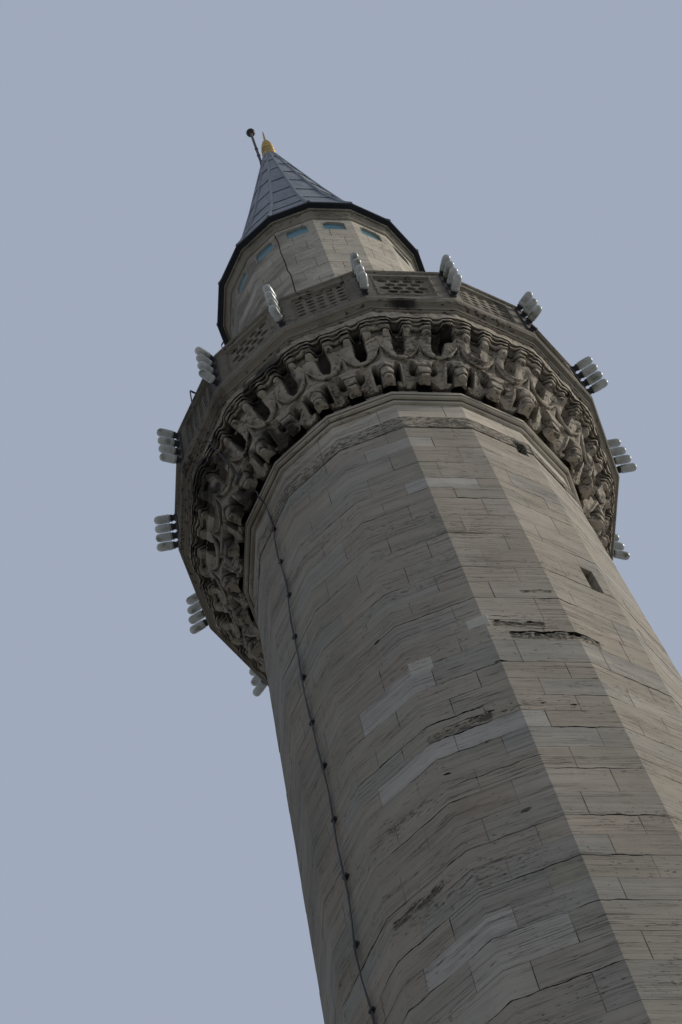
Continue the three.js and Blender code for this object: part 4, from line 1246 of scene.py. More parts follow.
for tier in (middle_tier, upper_tier):
    soot_and_shade = tier.data.attributes["soot_and_shade"].data
    for vertex in tier.data.vertices:
        azimuth = azimuth_of(vertex.co)
        cup = math.floor(2 * azimuth / FACET_ANGLE)
        depth = CUP_DEPTHS.get(cup, cup_depths[cup % (2 * SIDES)])
        reach = math.hypot(vertex.co.x, vertex.co.y)
        own = soot_and_shade[vertex.index]
        if 1.25 < reach < 1.44 and own.value > 0.5:
            move_out(vertex, reach, reach + (1 - depth) * (CUP_FACE - reach))
            own.value *= 0.3 + 0.7 * depth
        across = math.radians(azimuth - HOLE_AZIMUTH) * 1.48 / HOLE_HALF_WIDTH
        off_middle = across**2 + ((vertex.co.z - HOLE_HEIGHT) / HOLE_HALF_HEIGHT) ** 2
        reach = math.hypot(vertex.co.x, vertex.co.y)
        # The hole's inside is painted black, as shade.
        if off_middle < 1 and reach > 1.3:
            move_out(vertex, reach, reach - HOLE_DEPTH * math.sqrt(1 - off_middle))
            own.value = 1.0
for tier in (lower_tier, middle_tier, upper_tier):
    soot_and_shade = tier.data.attributes["soot_and_shade"].data
    for vertex in tier.data.vertices:
        azimuth = azimuth_of(vertex.co)
        # Painted shade: clouds of darkening on the side away from the lamp, and less darkening on the lit
        # right side.
        shaded = ease(azimuth, -85, -55) * (1 - ease(azimuth, -22, 6))
        cloud = ease(noise.noise(vertex.co * 4.5) + 0.4 * noise.noise(vertex.co * 11), 0.02, 0.3)
        own = soot_and_shade[vertex.index]
        own.value = max(own.value, 0.85 * shaded * cloud) * (1 - 0.45 * ease(azimuth, 34, 58))
for tier, name, node in (
    (lower_tier, "muqarnas_pendants", "muqarnas_lower_tier"),
    (middle_tier, "muqarnas_cups", "muqarnas_middle_tier"),
    (upper_tier, "muqarnas_knobs", "muqarnas_upper_tier"),
):
    set_in_tower(tier, name, [carved_stone], [node], 35)

# Balcony cornice and floor: fillets and a deep cavetto carry one thick slab with a rounded nose. Grooves
# cut up behind each fillet keep the rain off, and the stone is black with soot where water drips.
SLAB_FOOT = 22.41
SLAB_TOP = 22.5
BALCONY_RADIUS = 1.65
STAIRWELL_RADIUS = 0.45
cornice_foot = TIER_TOPS[2]
balcony_tones = bed_tones((0.175, 0.149, 0.11), CARVED_SHADES)
balcony_stone = lime_stone(
    "sooty_balcony_stone", balcony_tones, 0.4, 1.0, 1.0, 0.005, 75.0, 0.6, soot_run=0.3
)
balcony_cornice = turned_profile(moulding(HOLLOW_RADIUS, BALCONY_RADIUS, cornice_foot, SLAB_FOOT, [
    (-0.072, 0),
    *arc((-0.066, 0.014), 0.012, -80, 60, 4),
    (-0.068, 0.05), (-0.062, 0.05), (-0.058, 0.034), (-0.046, 0.036), (-0.044, 0.05), (-0.056, 0.058),
    *arc((-0.004, 0.056), 0.058, 180, 128, 6),
    (-0.024, 0.108), (-0.024, 0.118), (-0.012, 0.12), (-0.004, 0.132), (-0.004, 0.15),
]))


def sooty_patch(piece, azimuth, half_width, low, high):
    """A patch black with soot, on a fine net of faces that can carry it."""

    def is_near(face):
        middle = face.calc_center_median()
        return middle.to_2d().length > 1.4 and abs(azimuth_of(middle) - azimuth) < 6

    open_mesh(piece)
    choose(piece, is_near)
    bpy.ops.mesh.subdivide(number_cuts=24)
    close_mesh()
    soot_and_shade = piece.data.attributes.new("soot_and_shade", "FLOAT", "POINT")
    for vertex in piece.data.vertices:
        turn = azimuth_of(vertex.co)
        z = vertex.co.z
        ragged = 0.7 * math.sin(9 * turn) + 0.5 * math.sin(23 * turn + 60 * z)
        share = 1 - ease(abs(turn - azimuth) + 0.5 * ragged, half_width - 3.2, half_width + 0.8)
        share *= ease(z + 0.006 * ragged, low - 0.01, low + 0.02) * (1 - ease(z, high, high + 0.02))
        soot_and_shade.data[vertex.index].value = 0.95 * share


STAIN_AZIMUTH = 19.8
sooty_patch(balcony_cornice, STAIN_AZIMUTH, 4.6, cornice_foot + 0.03, SLAB_TOP)
set_in_tower(
    balcony_cornice, "balcony_cornice_cavetto", [balcony_stone], ["balcony_cornice"], 20
)
balcony_floor = turned_profile(moulding(STAIRWELL_RADIUS, BALCONY_RADIUS, SLAB_FOOT, SLAB_TOP, [
    (-0.012, 0),
    *arc((-0.016, 0.018), 0.016, -80, -5, 4),
    *arc((-0.016, 0.072), 0.016, 5, 80, 4),
    (-0.02, 0.09),
]))
sooty_patch(balcony_floor, STAIN_AZIMUTH, 3.4, SLAB_FOOT - 0.05, SLAB_FOOT + 0.01)
set_in_tower(balcony_floor, "balcony_floor_slab", [balcony_stone], ["balcony_floor"], 20)

# Parapet: pierced stone panels, one to a facet, each with a moulded frame round its lattice.
# Slots in ranks and a net of hexagons take turns round the balcony; both are cut right through.
RAIL_FOOT = 23.29
RAIL_TOP = 23.4
PARAPET_RADIUS = 1.632
PARAPET_THICKNESS = 0.11
LATTICE_WIDTH = 0.38
LATTICE_FOOT = SLAB_TOP + 0.13
LATTICE_HEIGHT = 0.56
FIELD_MARGIN = 0.035
panel_face = PARAPET_RADIUS * TO_APOTHEM


def lattice_hole(x, z, half_width, half_height, corners, turn):
    """A prism through the panel, at a place on its face."""
    clear_selection()
    bpy.ops.mesh.primitive_cylinder_add(
        vertices=corners,
        radius=1,
        depth=0.4,
        location=(x, -panel_face, z),
        rotation=(math.radians(90), 0, 0),
    )
    hole = bpy.context.object
    hole.data.transform(Matrix.Rotation(turn, 4, "Z"))
    hole.data.transform(Matrix.Diagonal((half_width, half_height, 1, 1)))
    return hole


def slot_holes():
    columns, ranks = 5, 6
    pitch_x = (LATTICE_WIDTH + 0.024) / columns
    pitch_z = (LATTICE_HEIGHT + 0.036) / ranks
    middle = LATTICE_FOOT + LATTICE_HEIGHT / 2
    holes = []
    for column in range(columns):
        for rank in range(ranks):
            x = (column - (columns - 1) / 2) * pitch_x
            z = middle + (rank - (ranks - 1) / 2) * pitch_z
            holes.append(lattice_hole(x, z, 0.031, 0.034, 8, math.radians(22.5)))
    return joined(holes)


def hexagon_holes():
    """Hexagons in rows that break joint, with a small three-sided hole in each gap between them."""
    most, rows, radius = 4, 5, 0.052
    pitch = (LATTICE_HEIGHT - 2 * radius) / (rows - 1)
    holes = []
    for row in range(rows):
        count = most - row % 2
        z = LATTICE_FOOT + radius + row * pitch
        for i in range(count):
            x = (i - (count - 1) / 2) * LATTICE_WIDTH / most
            holes.append(lattice_hole(x, z, 0.042, radius, 6, 0.0))
            for side in (-1, 1):
                if row + 1 < rows and abs(x + side * 0.0475) < 0.16:
                    holes.append(lattice_hole(x + side * 0.024, z + pitch / 2 + 0.004, 0.012, 0.014, 3, 0.0))
    return joined(holes)


def pierced_panel(holes):
    """The panel on the facet towards the photographer."""
    half = PARAPET_RADIUS * math.sin(math.pi / SIDES) - 0.0004
    inner_half = half - PARAPET_THICKNESS * math.tan(math.pi / SIDES)
    panel = block(2 * half, -panel_face, -panel_face + PARAPET_THICKNESS, SLAB_TOP, RAIL_FOOT)
    for vertex in panel.data.vertices:
        if vertex.co.y > -panel_face + 0.01:
            vertex.co.x = math.copysign(inner_half, vertex.co.x)
    aside = LATTICE_WIDTH / 2 + FIELD_MARGIN
    low = LATTICE_FOOT - FIELD_MARGIN
    high = LATTICE_FOOT + LATTICE_HEIGHT + FIELD_MARGIN
    upright, level = (1, 0, 0), (0, 0, 1)
    cuts = [((-aside, 0, 0), upright), ((aside, 0, 0), upright), ((0, 0, low), level), ((0, 0, high), level)]
    open_mesh(panel)
    for point, normal in cuts:
        choose(panel, lambda f: abs(f.normal.y) > 0.9)
        bpy.ops.mesh.bisect(plane_co=point, plane_no=normal)

    def in_field(face):
        middle = face.calc_center_median()
        return face.normal.y * side > 0.9 and abs(middle.x) < 0.1 and low < middle.z < high

    for side in (-1, 1):
        choose(panel, in_field)
        for thickness, depth in ((0.007, 0.006), (0.006, 0.0), (0.01, -0.024)):
            bpy.ops.mesh.inset(thickness=thickness, depth=depth)
    close_mesh()
    cut_away(panel, holes)
    return bevelled(panel, 0.0025, 1)


slotted = pierced_panel(slot_holes())
netted = pierced_panel(hexagon_holes())
for facet in range(SIDES):
    number = f"{facet + 1:02d}"
    panel = turned_copy(netted if facet % 2 else slotted, facet * FACET_ANGLE)
    tone = panel.data.attributes.new("stone_tone", "FLOAT", "FACE").data
    tone.foreach_set("value", [random.Random(facet + 5).random()] * len(tone))
    node = "parapet_panel_" + number
    set_in_tower(panel, "pierced_panel_" + number, [balcony_stone], [node], 20)
discard(slotted, netted)

# Parapet rail: a moulded coping in sixteen mitred lengths of the same stone. It ties the panels together
# along their heads and sheds the rain outward.
rail_inside = PARAPET_RADIUS - PARAPET_THICKNESS - 0.014
parapet_rail = turned_profile(moulding(rail_inside, PARAPET_RADIUS, RAIL_FOOT, RAIL_TOP - 0.012, [
    (0.001, 0), (0.004, 0.012),
    *arc((0.002, 0.024), 0.012, -40, 60, 4),
    (0.004, 0.038), (0.014, 0.04), (0.016, 0.062),
    *arc((-0.026, 0.066), 0.04, 0, 70, 6),
    (-0.026, 0.11), (-PARAPET_THICKNESS - 0.002, 0.11),
]))
set_in_tower(parapet_rail, "parapet_coping", [balcony_stone], ["parapet_rail"], 20)

# Festival lamps: on every corner of the parapet an iron batten carries four glass jars in plastic
# sockets. A flat conduit round the slab feeds the battens; one column has lost its lowest jar.
LAMPS_PER_COLUMN = 4
LAMP_SPACING = 0.225
LAMP_FIRST = SLAB_TOP + 0.07
LAMP_LENGTH = 0.165
BATTEN_FACE = PARAPET_RADIUS + 0.0123
COLUMN_WITH_LOST_JAR = 2


def turned_outward(profile, z, sides):
    """A round piece that points out from a corner: (distance past the batten's face, radius) to its tip."""
    profile = [(BATTEN_FACE + out, radius) for out, radius in profile]
    clear_selection()
    bpy.ops.mesh.primitive_cylinder_add(vertices=sides, radius=1, depth=1, end_fill_type="NOTHING")
    piece = bpy.context.object
    mesh = open_mesh(piece)
    for vertex in mesh.verts:
        own = profile[0] if vertex.co.z < 0 else profile[1]
        scale = own[1] / math.hypot(vertex.co.x, vertex.co.y)
        vertex.co = Vector((vertex.co.x * scale, -own[0], z + vertex.co.y * scale))
    outer_end = -profile[1][0]
    choose(piece, lambda e: e.is_boundary and all(abs(v.co.y - outer_end) < 1e-6 for v in e.verts), "EDGE")
    for before, after in zip(profile[1:], profile[2:]):
        bpy.ops.mesh.extrude_region_move(TRANSFORM_OT_translate={"value": (0, before[0] - after[0], 0)})
        share = after[1] / before[1]
        bpy.ops.transform.resize(value=(share, 1, share), center_override=(0, -after[0], z))
    bpy.ops.mesh.select_all(action="DESELECT")
    bpy.ops.mesh.select_non_manifold()
    bpy.ops.mesh.fill_holes(sides=0)
    close_outward()
    return piece


# The jars are thick pressed glass, milky with age and dirt and a little green near the neck.
jar_glass = Finish("pressed_jar_glass", Roughness=0.34, IOR=1.45, Transmission_Weight=0.15)
jar_tones = (0.4, (0.44, 0.44, 0.4)), (0.54, (0.34, 0.34, 0.3)), (0.64, (0.14, 0.15, 0.09))
glass = jar_glass.coat(Base_Color=jar_glass.ramp(jar_glass.noise((9, 9, 9), 5, 0.6), *jar_tones))
socket_plastic = forged_iron(
    "socket_black_plastic", (0.02, 0.02, 0.021), (0.05, 0.05, 0.048), Metallic=0.0, Specular_IOR_Level=0.15
)
jar_profile = [
    (0.036, 0.026), (0.044, 0.028), (0.05, 0.0325), (0.062, 0.033), (0.066, 0.0315), (0.07, 0.033),
    (0.13, 0.033), (0.146, 0.03), (0.157, 0.023), (0.163, 0.013), (LAMP_LENGTH, 0.004),
]
socket_profile = [
    (-0.001, 0.03), (0.006, 0.03), (0.009, 0.024), (0.024, 0.024), (0.027, 0.029), (0.04, 0.029)
]
jar = turned_outward(jar_profile, LAMP_FIRST, 14)
socket = turned_outward(socket_profile, LAMP_FIRST, 12)
batten_head = LAMP_FIRST + (LAMPS_PER_COLUMN - 1) * LAMP_SPACING + 0.035
batten = bevelled(block(0.04, -BATTEN_FACE, -BATTEN_FACE + 0.012, SLAB_TOP, batten_head), 0.002, 1)
jars, sockets, battens = [], [], []
for column in range(SIDES):
    azimuth = FIRST_CORNER + column * FACET_ANGLE
    battens.append(turned_copy(batten, azimuth))
    for i in range(LAMPS_PER_COLUMN):
        for lamp_part, made in ((socket, sockets), (jar, jars)):
            if lamp_part == jar and column == COLUMN_WITH_LOST_JAR and i == 0:
                continue
            made.append(turned_copy(lamp_part, azimuth))
            made[-1].data.transform(Matrix.Translation((0, 0, i * LAMP_SPACING)))
discard(jar, socket, batten)
conduit_foot, conduit_top = SLAB_TOP + 0.0005, SLAB_TOP + 0.012
conduit = turned_profile(moulding(PARAPET_RADIUS + 0.0025, PARAPET_RADIUS, conduit_foot, conduit_top, [
    (0.0135, 0), (0.0135, 0.0115)
]))
quarters = ["lamp_columns_front", "lamp_columns_right", "lamp_columns_back", "lamp_columns_left"]
set_in_tower(joined([conduit, *battens]), "lamp_battens", [dark_iron], quarters, 20)
set_in_tower(joined(sockets), "lamp_sockets", [socket_plastic], (), 35)
set_in_tower(joined(jars), "lamp_jars", [glass], (), 40)

# Upper shaft: a slimmer drum of the same ashlar above the balcony, with a crack that runs down one corner.
# Under its cornice each facet holds a pane of turquoise glazed tile in a thin plaster reveal.
UPPER_RADIUS = 0.915
UPPER_HOLLOW_RADIUS = 0.735
UPPER_WALL_TOP = 28.8
TILE_WIDTH = 0.205
TILE_FOOT = 28.37
TILE_TOP = 28.7
TILE_SINK = 0.022
UPPER_COURSE = 0.37

# The crack goes through (height, degrees to the right of its azimuth), between an inner and an outer radius.
CRACK_AZIMUTH = -12.4
CRACK_HALF_ANGLE = 0.35
CRACK_INNER = 0.885
CRACK_OUTER = 0.96
CRACK_POINTS = [
    (28.78, -0.5), (28.4, 0.3), (28.0, -0.1), (27.5, 0.6), (27.2, 0.4), (27.0, 1.4), (26.4, 1.0), (25.6, 1.2)
]


def pane_block(face, depth, shoulder, margin=0.0):
    """A block as large as a tile and its margin, with sloped shoulders, its face towards the photographer."""
    width = TILE_WIDTH + 2 * margin
    top = TILE_TOP + margin
    pane = block(width, -face, -face + depth, TILE_FOOT - margin, top)
    open_mesh(pane)
    for side in (-1, 1):
        corner = (side * (width / 2 - shoulder), 0, top)
        choose(pane, lambda f: True)
        bpy.ops.mesh.bisect(plane_co=corner, plane_no=(side, 0, 1), clear_outer=True, use_fill=True)
    close_mesh()
    return pane


def all_round(piece):
    """Sixteen copies joined into one, a copy to each facet."""
    copies = [turned_copy(piece, facet * FACET_ANGLE) for facet in range(SIDES)]
    discard(piece)
    return joined(copies)


upper_shaft = copy_of_node("upper_shaft")
lay_facets(upper_shaft, [SLAB_TOP + UPPER_COURSE * i for i in range(1, 17)], 83, 0.85, proud=0.003)
UPPER_SHADES = [(0.0, 1.0), (0.2, 0.95), (0.4, 1.05), (0.6, 0.97), (0.8, 1.06), (0.92, 0.98)]
upper_tones = bed_tones((0.37, 0.325, 0.252), UPPER_SHADES)
pale_ashlar = lime_stone("upper_pale_ashlar", upper_tones, 0.5, 0.6, 0.4, painted_side_shade=1.7)
face_of_upper = (UPPER_RADIUS + 0.003) * TO_APOTHEM
cut_away(upper_shaft, all_round(pane_block(face_of_upper + 0.02, 0.05, 0.055, 0.008)))
for top, foot in zip(CRACK_POINTS, CRACK_POINTS[1:]):
    clear_selection()
    bpy.ops.mesh.primitive_cube_add(size=1)
    crack = bpy.context.object
    for vertex in crack.data.vertices:
        is_top = vertex.co.z > 0
        z, shift = top if is_top else foot
        azimuth = CRACK_AZIMUTH + shift + math.copysign(CRACK_HALF_ANGLE, vertex.co.x)
        radius = CRACK_OUTER if vertex.co.y < 0 else CRACK_INNER
        vertex.co = around(azimuth, radius, z + (0.002 if is_top else -0.002))
    cut_away(upper_shaft, crack)
set_in_tower(upper_shaft, "upper_shaft_ashlar", [pale_ashlar, mortar, painted_gap_shadow], ["upper_shaft"])

# The tiles have a fired glaze, pooled darker in places, with a net of fine crazing.
tile = Finish("turquoise_tile_glaze", Roughness=0.3)
pooling = tile.ramp(tile.noise((9, 9, 6), 5, 0.6), (0.32, (0.028, 0.11, 0.14)), (0.6, (0.048, 0.175, 0.205)))
crazing = tile.node("ShaderNodeTexVoronoi", Vector=tile.place, Scale=45.0)
crazing.feature = "DISTANCE_TO_EDGE"
crazed = tile.ramp(crazing.outputs["Distance"], (0.0, 0.55), (0.035, 1.0))
glaze = tile.coat(Base_Color=tile.blend(pooling, crazed))
plaster_tones = [(0.0, (0.3, 0.268, 0.208)), (1.0, (0.27, 0.243, 0.19))]
plaster = lime_stone("tile_plaster_reveal", plaster_tones, 0.2, 0.2, 0.3, 0.002, 90.0)
panes = all_round(pane_block(face_of_upper - TILE_SINK, 0.006, 0.05))
reveal = pane_block(face_of_upper + 0.0015, 0.0285, 0.0535, 0.007)
cut_away(reveal, pane_block(face_of_upper + 0.02, 0.07, 0.05))
set_in_tower(panes, "glazed_tile_panes", [glaze], (), 20)
set_in_tower(all_round(reveal), "tile_reveals", [plaster], (), 20)

# Balcony door: a narrow oak leaf on the far side of the upper shaft, which the stair comes out by.
# It is boarded and strapped like the one below.
BALCONY_DOOR_FACE = 0.81
BALCONY_DOOR_BACK = BALCONY_DOOR_FACE - 0.048
BALCONY_DOOR_WIDTH = 0.516
BALCONY_DOOR_HEIGHT = 1.644
balcony_leaf = boarded_leaf(
    BALCONY_DOOR_WIDTH, SLAB_TOP + 0.002, BALCONY_DOOR_HEIGHT, BALCONY_DOOR_BACK, BALCONY_DOOR_FACE, 4
)
set_in_tower(balcony_leaf, "balcony_door_boards", [weathered_oak], ["balcony_door"], 30)
balcony_straps = joined([strap_and_nails(0.48, SLAB_TOP + z, BALCONY_DOOR_FACE, 5) for z in (0.3, 1.3)])
set_in_tower(balcony_straps, "balcony_door_straps", [dark_iron], (), 30)

# Upper cornice: a bead and a tall cavetto that carry the spire's rim, cut in straight mitred lengths.
# It is painted darker than the wall, as shade under the eave, and the water that drips from the rim runs over
# it.
EAVE_FOOT = 29.03
EAVE_TOP = 29.09
EAVE_RADIUS = 1.035
upper_cornice = turned_profile(moulding(UPPER_HOLLOW_RADIUS, UPPER_RADIUS, UPPER_WALL_TOP, EAVE_FOOT, [
    (0.004, 0),
    *arc((0.01, 0.014), 0.013, -70, 70, 4),
    (0.0, 0.03), (0.0, 0.06), (0.006, 0.11), (0.018, 0.15), (0.034, 0.178), (0.052, 0.198), (0.056, 0.186),
    (0.064, 0.187), (0.064, 0.202), (0.066, 0.23),
]))
# Painted shade: a darker copy of the carved stone for the cornice under the eave.
shaded_cornice_tones = bed_tones((0.235, 0.205, 0.15), CARVED_SHADES)
shaded_cornice_stone = lime_stone("upper_cornice_shaded_stone", shaded_cornice_tones, 0.3, 0.6, 0.8, painted_side_shade=0.9, soot_run=0.45)
set_in_tower(upper_cornice, "upper_cornice_cavetto", [shaded_cornice_stone], ["upper_cornice"], 20)

# Eave: a tarred board with lead dressed down over its edge, nearly black against the sky.
# The lead finish is mixed here for the whole spire: blue grey, with pale bloom and dark runs.


def lead_sheet(name, base, bloom, dirt, **surface):
    lead = Finish(name, Metallic=0.35)
    patches = lead.noise((3.2, 3.2, 1.6), 6, 0.6)
    colour = lead.ramp(patches, (0.35, base), (0.65, bloom))
    run_mask = lead.ramp(lead.noise((11, 11, 0.9), 5, 0.6), (0.45, 0.0), (0.68, 1.0))
    colour = lead.blend(colour, (*dirt, 1), lead.maths("MULTIPLY", run_mask, 0.6), "MIX")
    lead.relief(lead.noise((5, 5, 3), 3, 0.5), 0.02, 0.5)
    return lead.coat(Base_Color=colour, Roughness=lead.ramp(patches, (0.3, 0.5), (0.7, 0.72)), **surface)


tarred_rim = lead_sheet(
    "tarred_eave_edge", (0.012, 0.013, 0.015), (0.02, 0.021, 0.024), (0.008, 0.008, 0.009),
    Metallic=0.0, Specular_IOR_Level=0.12,
)
weathered_lead = lead_sheet(
    "weathered_lead", (0.106, 0.115, 0.127), (0.19, 0.202, 0.212), (0.058, 0.063, 0.072)
)
lead_eave = turned_profile(moulding(UPPER_HOLLOW_RADIUS, EAVE_RADIUS, EAVE_FOOT, EAVE_TOP, [
    (-0.012, 0),
    *arc((-0.012, 0.012), 0.012, -70, 0, 3),
    *arc((-0.012, 0.046), 0.012, 0, 80, 3),
    (-0.02, 0.06),
]))
set_in_tower(lead_eave, "lead_eave_edge", [tarred_rim], ["lead_eave"], 20)

# Spire: boards under sheets of lead, bell-cast over the eave. The sheets lap downhill and break joint from
# facet to facet, and at each corner their edges are dressed together over a round roll.
SPIRE_TIP = 36.95
SPIRE_PROFILE = [(1.015, 29.09), (0.94, 29.5), (0.832, 30.2), (0.686, 31.2), (0.484, 33.0), (0.075, 36.95)]
SHEET_LAP = 0.009
SHEET_LENGTH = 1.15
SHEET_THICKNESS = 0.007
ROLL_RADIUS = 0.021


def spire_radius(z):
    for (low_radius, low), (high_radius, high) in zip(SPIRE_PROFILE, SPIRE_PROFILE[1:]):
        if z <= high:
            return low_radius + (high_radius - low_radius) * (z - low) / (high - low)
    return SPIRE_PROFILE[-1][0]


def rod_along(points, radius, sides=8, radii=None):
    """A round bar through a list of points, with closed ends."""
    clear_selection()
    line = bpy.data.curves.new("bar", "CURVE")
    line.dimensions = "3D"
    line.bevel_depth = radius
    line.bevel_resolution = max(0, sides // 2 - 2)
    line.use_fill_caps = True
    spline = line.splines.new("POLY")
    spline.points.add(len(points) - 1)
    for i, point in enumerate(points):
        spline.points[i].co = (*point, 1)
        spline.points[i].radius = radii[i] if radii else 1.0
    made = bpy.data.objects.new("bar", line)
    bpy.context.collection.objects.link(made)
    work_on(made)
    bpy.ops.object.convert(target="MESH")
    made = bpy.context.object
    bpy.ops.object.mode_set(mode="EDIT")
    bpy.ops.mesh.select_all(action="SELECT")
    bpy.ops.mesh.remove_doubles(threshold=0.00001)
    close_outward()
    return made


shell_outside = [(radius - 0.006, z) for radius, z in SPIRE_PROFILE]
shell_inside = [(radius - 0.08, z) for radius, z in reversed(SPIRE_PROFILE[:-1])]
spire_boards = turned_profile([*shell_outside, (0.005, SPIRE_TIP), (0.005, SPIRE_TIP - 0.95), *shell_inside])
sheets = [spire_boards]
for facet in range(SIDES):
    stagger = (0.55, 0.0, 0.3, 0.8)[facet % 4] * SHEET_LENGTH
    seams = [EAVE_TOP]
    z = EAVE_TOP + stagger + 0.35
    while z < SPIRE_TIP - 0.3:
        seams.append(z)
        z += SHEET_LENGTH * (1 + 0.1 * math.sin(facet * 2.1 + z))
    seams.append(SPIRE_TIP - 0.004)
    for foot, head in zip(seams, seams[1:]):
        clear_selection()
        steps = max(2, round((head - foot) / 0.16))
        bpy.ops.mesh.primitive_grid_add(x_subdivisions=6, y_subdivisions=steps, size=2)
        sheet = bpy.context.object
        for vertex in sheet.data.vertices:
            up_share = (vertex.co.y + 1) / 2
            z = foot + (head - foot) * up_share
            lift = SHEET_LAP * (1 - up_share) + 0.001
            swell = 0.004 * math.sin(math.pi * (vertex.co.x + 1) / 2) * math.sin(6 * z + facet)
            edge = spire_radius(z) * math.sin(math.pi / SIDES) * vertex.co.x
            flat = spire_radius(z) * TO_APOTHEM + lift + swell
            turn = math.radians(facet * FACET_ANGLE)
            vertex.co = Vector((
                flat * math.sin(turn) + edge * math.cos(turn),
                -flat * math.cos(turn) + edge * math.sin(turn),
                z,
            ))
        bpy.ops.object.mode_set(mode="EDIT")
        bpy.ops.mesh.select_all(action="SELECT")
        bpy.ops.mesh.extrude_region_shrink_fatten(TRANSFORM_OT_shrink_fatten={"value": -SHEET_THICKNESS})
        close_outward()
        sheets.append(sheet)
set_in_tower(joined(sheets), "spire_lead_sheets", [weathered_lead], ["lead_spire"], 25)
rolls = []
for corner in range(SIDES):
    azimuth = FIRST_CORNER + corner * FACET_ANGLE
    heights = [z for _, z in SPIRE_PROFILE[:-1]]
    heights += [33.9, 34.8, 35.8, SPIRE_TIP - 0.06]
    heights.insert(1, EAVE_TOP + 0.2)
    points = [around(azimuth + 0.12 * math.sin(5 * z), spire_radius(z) + 0.006, z) for z in heights]
    sizes = [1.0 - 0.5 * (z - EAVE_TOP) / (SPIRE_TIP - EAVE_TOP) for z in heights]
    rolls.append(rod_along(points, ROLL_RADIUS, 8, sizes))
set_in_tower(joined(rolls), "spire_lead_rolls", [weathered_lead], (), 40)

# Finial: gilded copper bulbs threaded on an iron pin, smaller towards the top, where a thin spike rises.
# It leans a little to the right. Its gilding is worn, and brown in the hollows.
FINIAL_TIP = 38.75
FINIAL_LEAN = 0.014
COLLAR_TOP = SPIRE_TIP + 0.012

# A bulb is (height, radius, radius of the waist above it).
BULBS = [
    (0.178, 0.087, 0.055), (0.19, 0.085, 0.053), (0.185, 0.081, 0.048),
    (0.175, 0.074, 0.041), (0.165, 0.063, 0.03), (0.15, 0.046, 0.016),
]
gold = Finish("gilded_copper", Metallic=1.0)
wear = gold.noise((14, 14, 14), 6, 0.65)
gold.coat(Roughness=gold.ramp(wear, (0.35, 0.3), (0.7, 0.55)))
gold_tones = (0.4, (0.42, 0.26, 0.035)), (0.6, (0.24, 0.15, 0.03)), (0.72, (0.08, 0.052, 0.02))
gilding = gold.coat(Base_Color=gold.ramp(wear, *gold_tones))
outline = [(0.009, SPIRE_TIP), (0.07, SPIRE_TIP), (0.074, COLLAR_TOP)]
foot = COLLAR_TOP
for height, girth, waist in BULBS:
    for i in range(1, 8):
        round_share = math.sin(math.pi * i / 7) ** 0.8
        outline.append((waist + (girth - waist) * round_share - 0.002 * (i == 7), foot + height * i / 7))
    foot += height
outline += [
    (0.016, foot + 0.03), (0.014, foot + 0.35), (0.006, FINIAL_TIP - 0.02), (0.0006, FINIAL_TIP),
    (0.0004, FINIAL_TIP - 0.01), (0.0004, SPIRE_TIP + 0.01),
]
finial = turned_profile(outline, 28)
for vertex in finial.data.vertices:
    vertex.co.x += FINIAL_LEAN * (vertex.co.z - SPIRE_TIP)
set_in_tower(finial, "gilded_finial_bulbs", [gilding], ["finial"], 50)

# Lightning rod: a black iron tube with a ball head set with short pins. It stands beside the finial,
# and a strap and three sleeves hold it to the spire's tip.
ROD_AZIMUTH = -90
ROD_DISTANCE = 0.12
ROD_HEAD = 38.965
ROD_RADIUS = 0.016
SLEEVE_RADIUS = 0.021
HEAD_RADIUS = 0.061
HEAD_PINS = 14
STRAP_REACH = 0.032
rod_foot = SPIRE_TIP - 0.2
rod_points = [around(ROD_AZIMUTH, ROD_DISTANCE, z) for z in (rod_foot, 37.4, 38.2, ROD_HEAD)]
rod_parts = [rod_along(rod_points, ROD_RADIUS, 12)]
clear_selection()
head = around(ROD_AZIMUTH, ROD_DISTANCE, ROD_HEAD)
bpy.ops.mesh.primitive_uv_sphere_add(segments=24, ring_count=14, radius=HEAD_RADIUS - 0.004, location=head)
rod_parts.append(bpy.context.object)
for i in range(HEAD_PINS):
    tilt = math.radians(20 + 140 * ((i * 0.37) % 1))
    spin = 2.4 * i
    way = Vector((math.sin(tilt) * math.cos(spin), math.sin(tilt) * math.sin(spin), math.cos(tilt)))
    rod_parts.append(rod_along([head + way * 0.05, head + way * (HEAD_RADIUS + 0.004)], 0.0028, 6))
for z in (rod_foot + 0.03, 37.35, 37.8):
    clear_selection()
    sleeve_at = around(ROD_AZIMUTH, ROD_DISTANCE, z)
    bpy.ops.mesh.primitive_cylinder_add(vertices=16, radius=SLEEVE_RADIUS, depth=0.05, location=sleeve_at)
    rod_parts.append(bevelled(bpy.context.object, 0.003, 1))
strap = block(STRAP_REACH, -0.006, 0.006, rod_foot, rod_foot + 0.06, STRAP_REACH / 2 - ROD_DISTANCE)
rod_parts.append(bevelled(strap, 0.0015, 1))
set_in_tower(joined(rod_parts), "lightning_rod_tube", [dark_iron], ["lightning_rod"], 40)

# Down conductor: two thin black cables side by side, clipped to the stone and never quite straight.
# They run from the rod over the spire and the balcony, then down one facet's middle to the plinth.
CABLE_RADIUS = 0.004
CABLE_APART = 0.0042
CABLE_STEP = 0.31
STAND_OFF = 0.014
CABLE_AZIMUTH = -45
CABLE_ON_BASE = -1.44
FIRST_CLIP = 9.78
CLIP_SPACING = 0.715
CLIP_DEPTH = 0.024
SPIRE_HEIGHTS = (36.7, 35.9, 35.0, 34.0, 33.0, 32.1, 31.2, 30.7, 30.2, 29.5)


def cable_sway(z):
    """Degrees that the cables stray from their facet's middle."""
    return 0.7 * math.sin(1.7 * z) + 0.35 * math.sin(4.3 * z + 1)


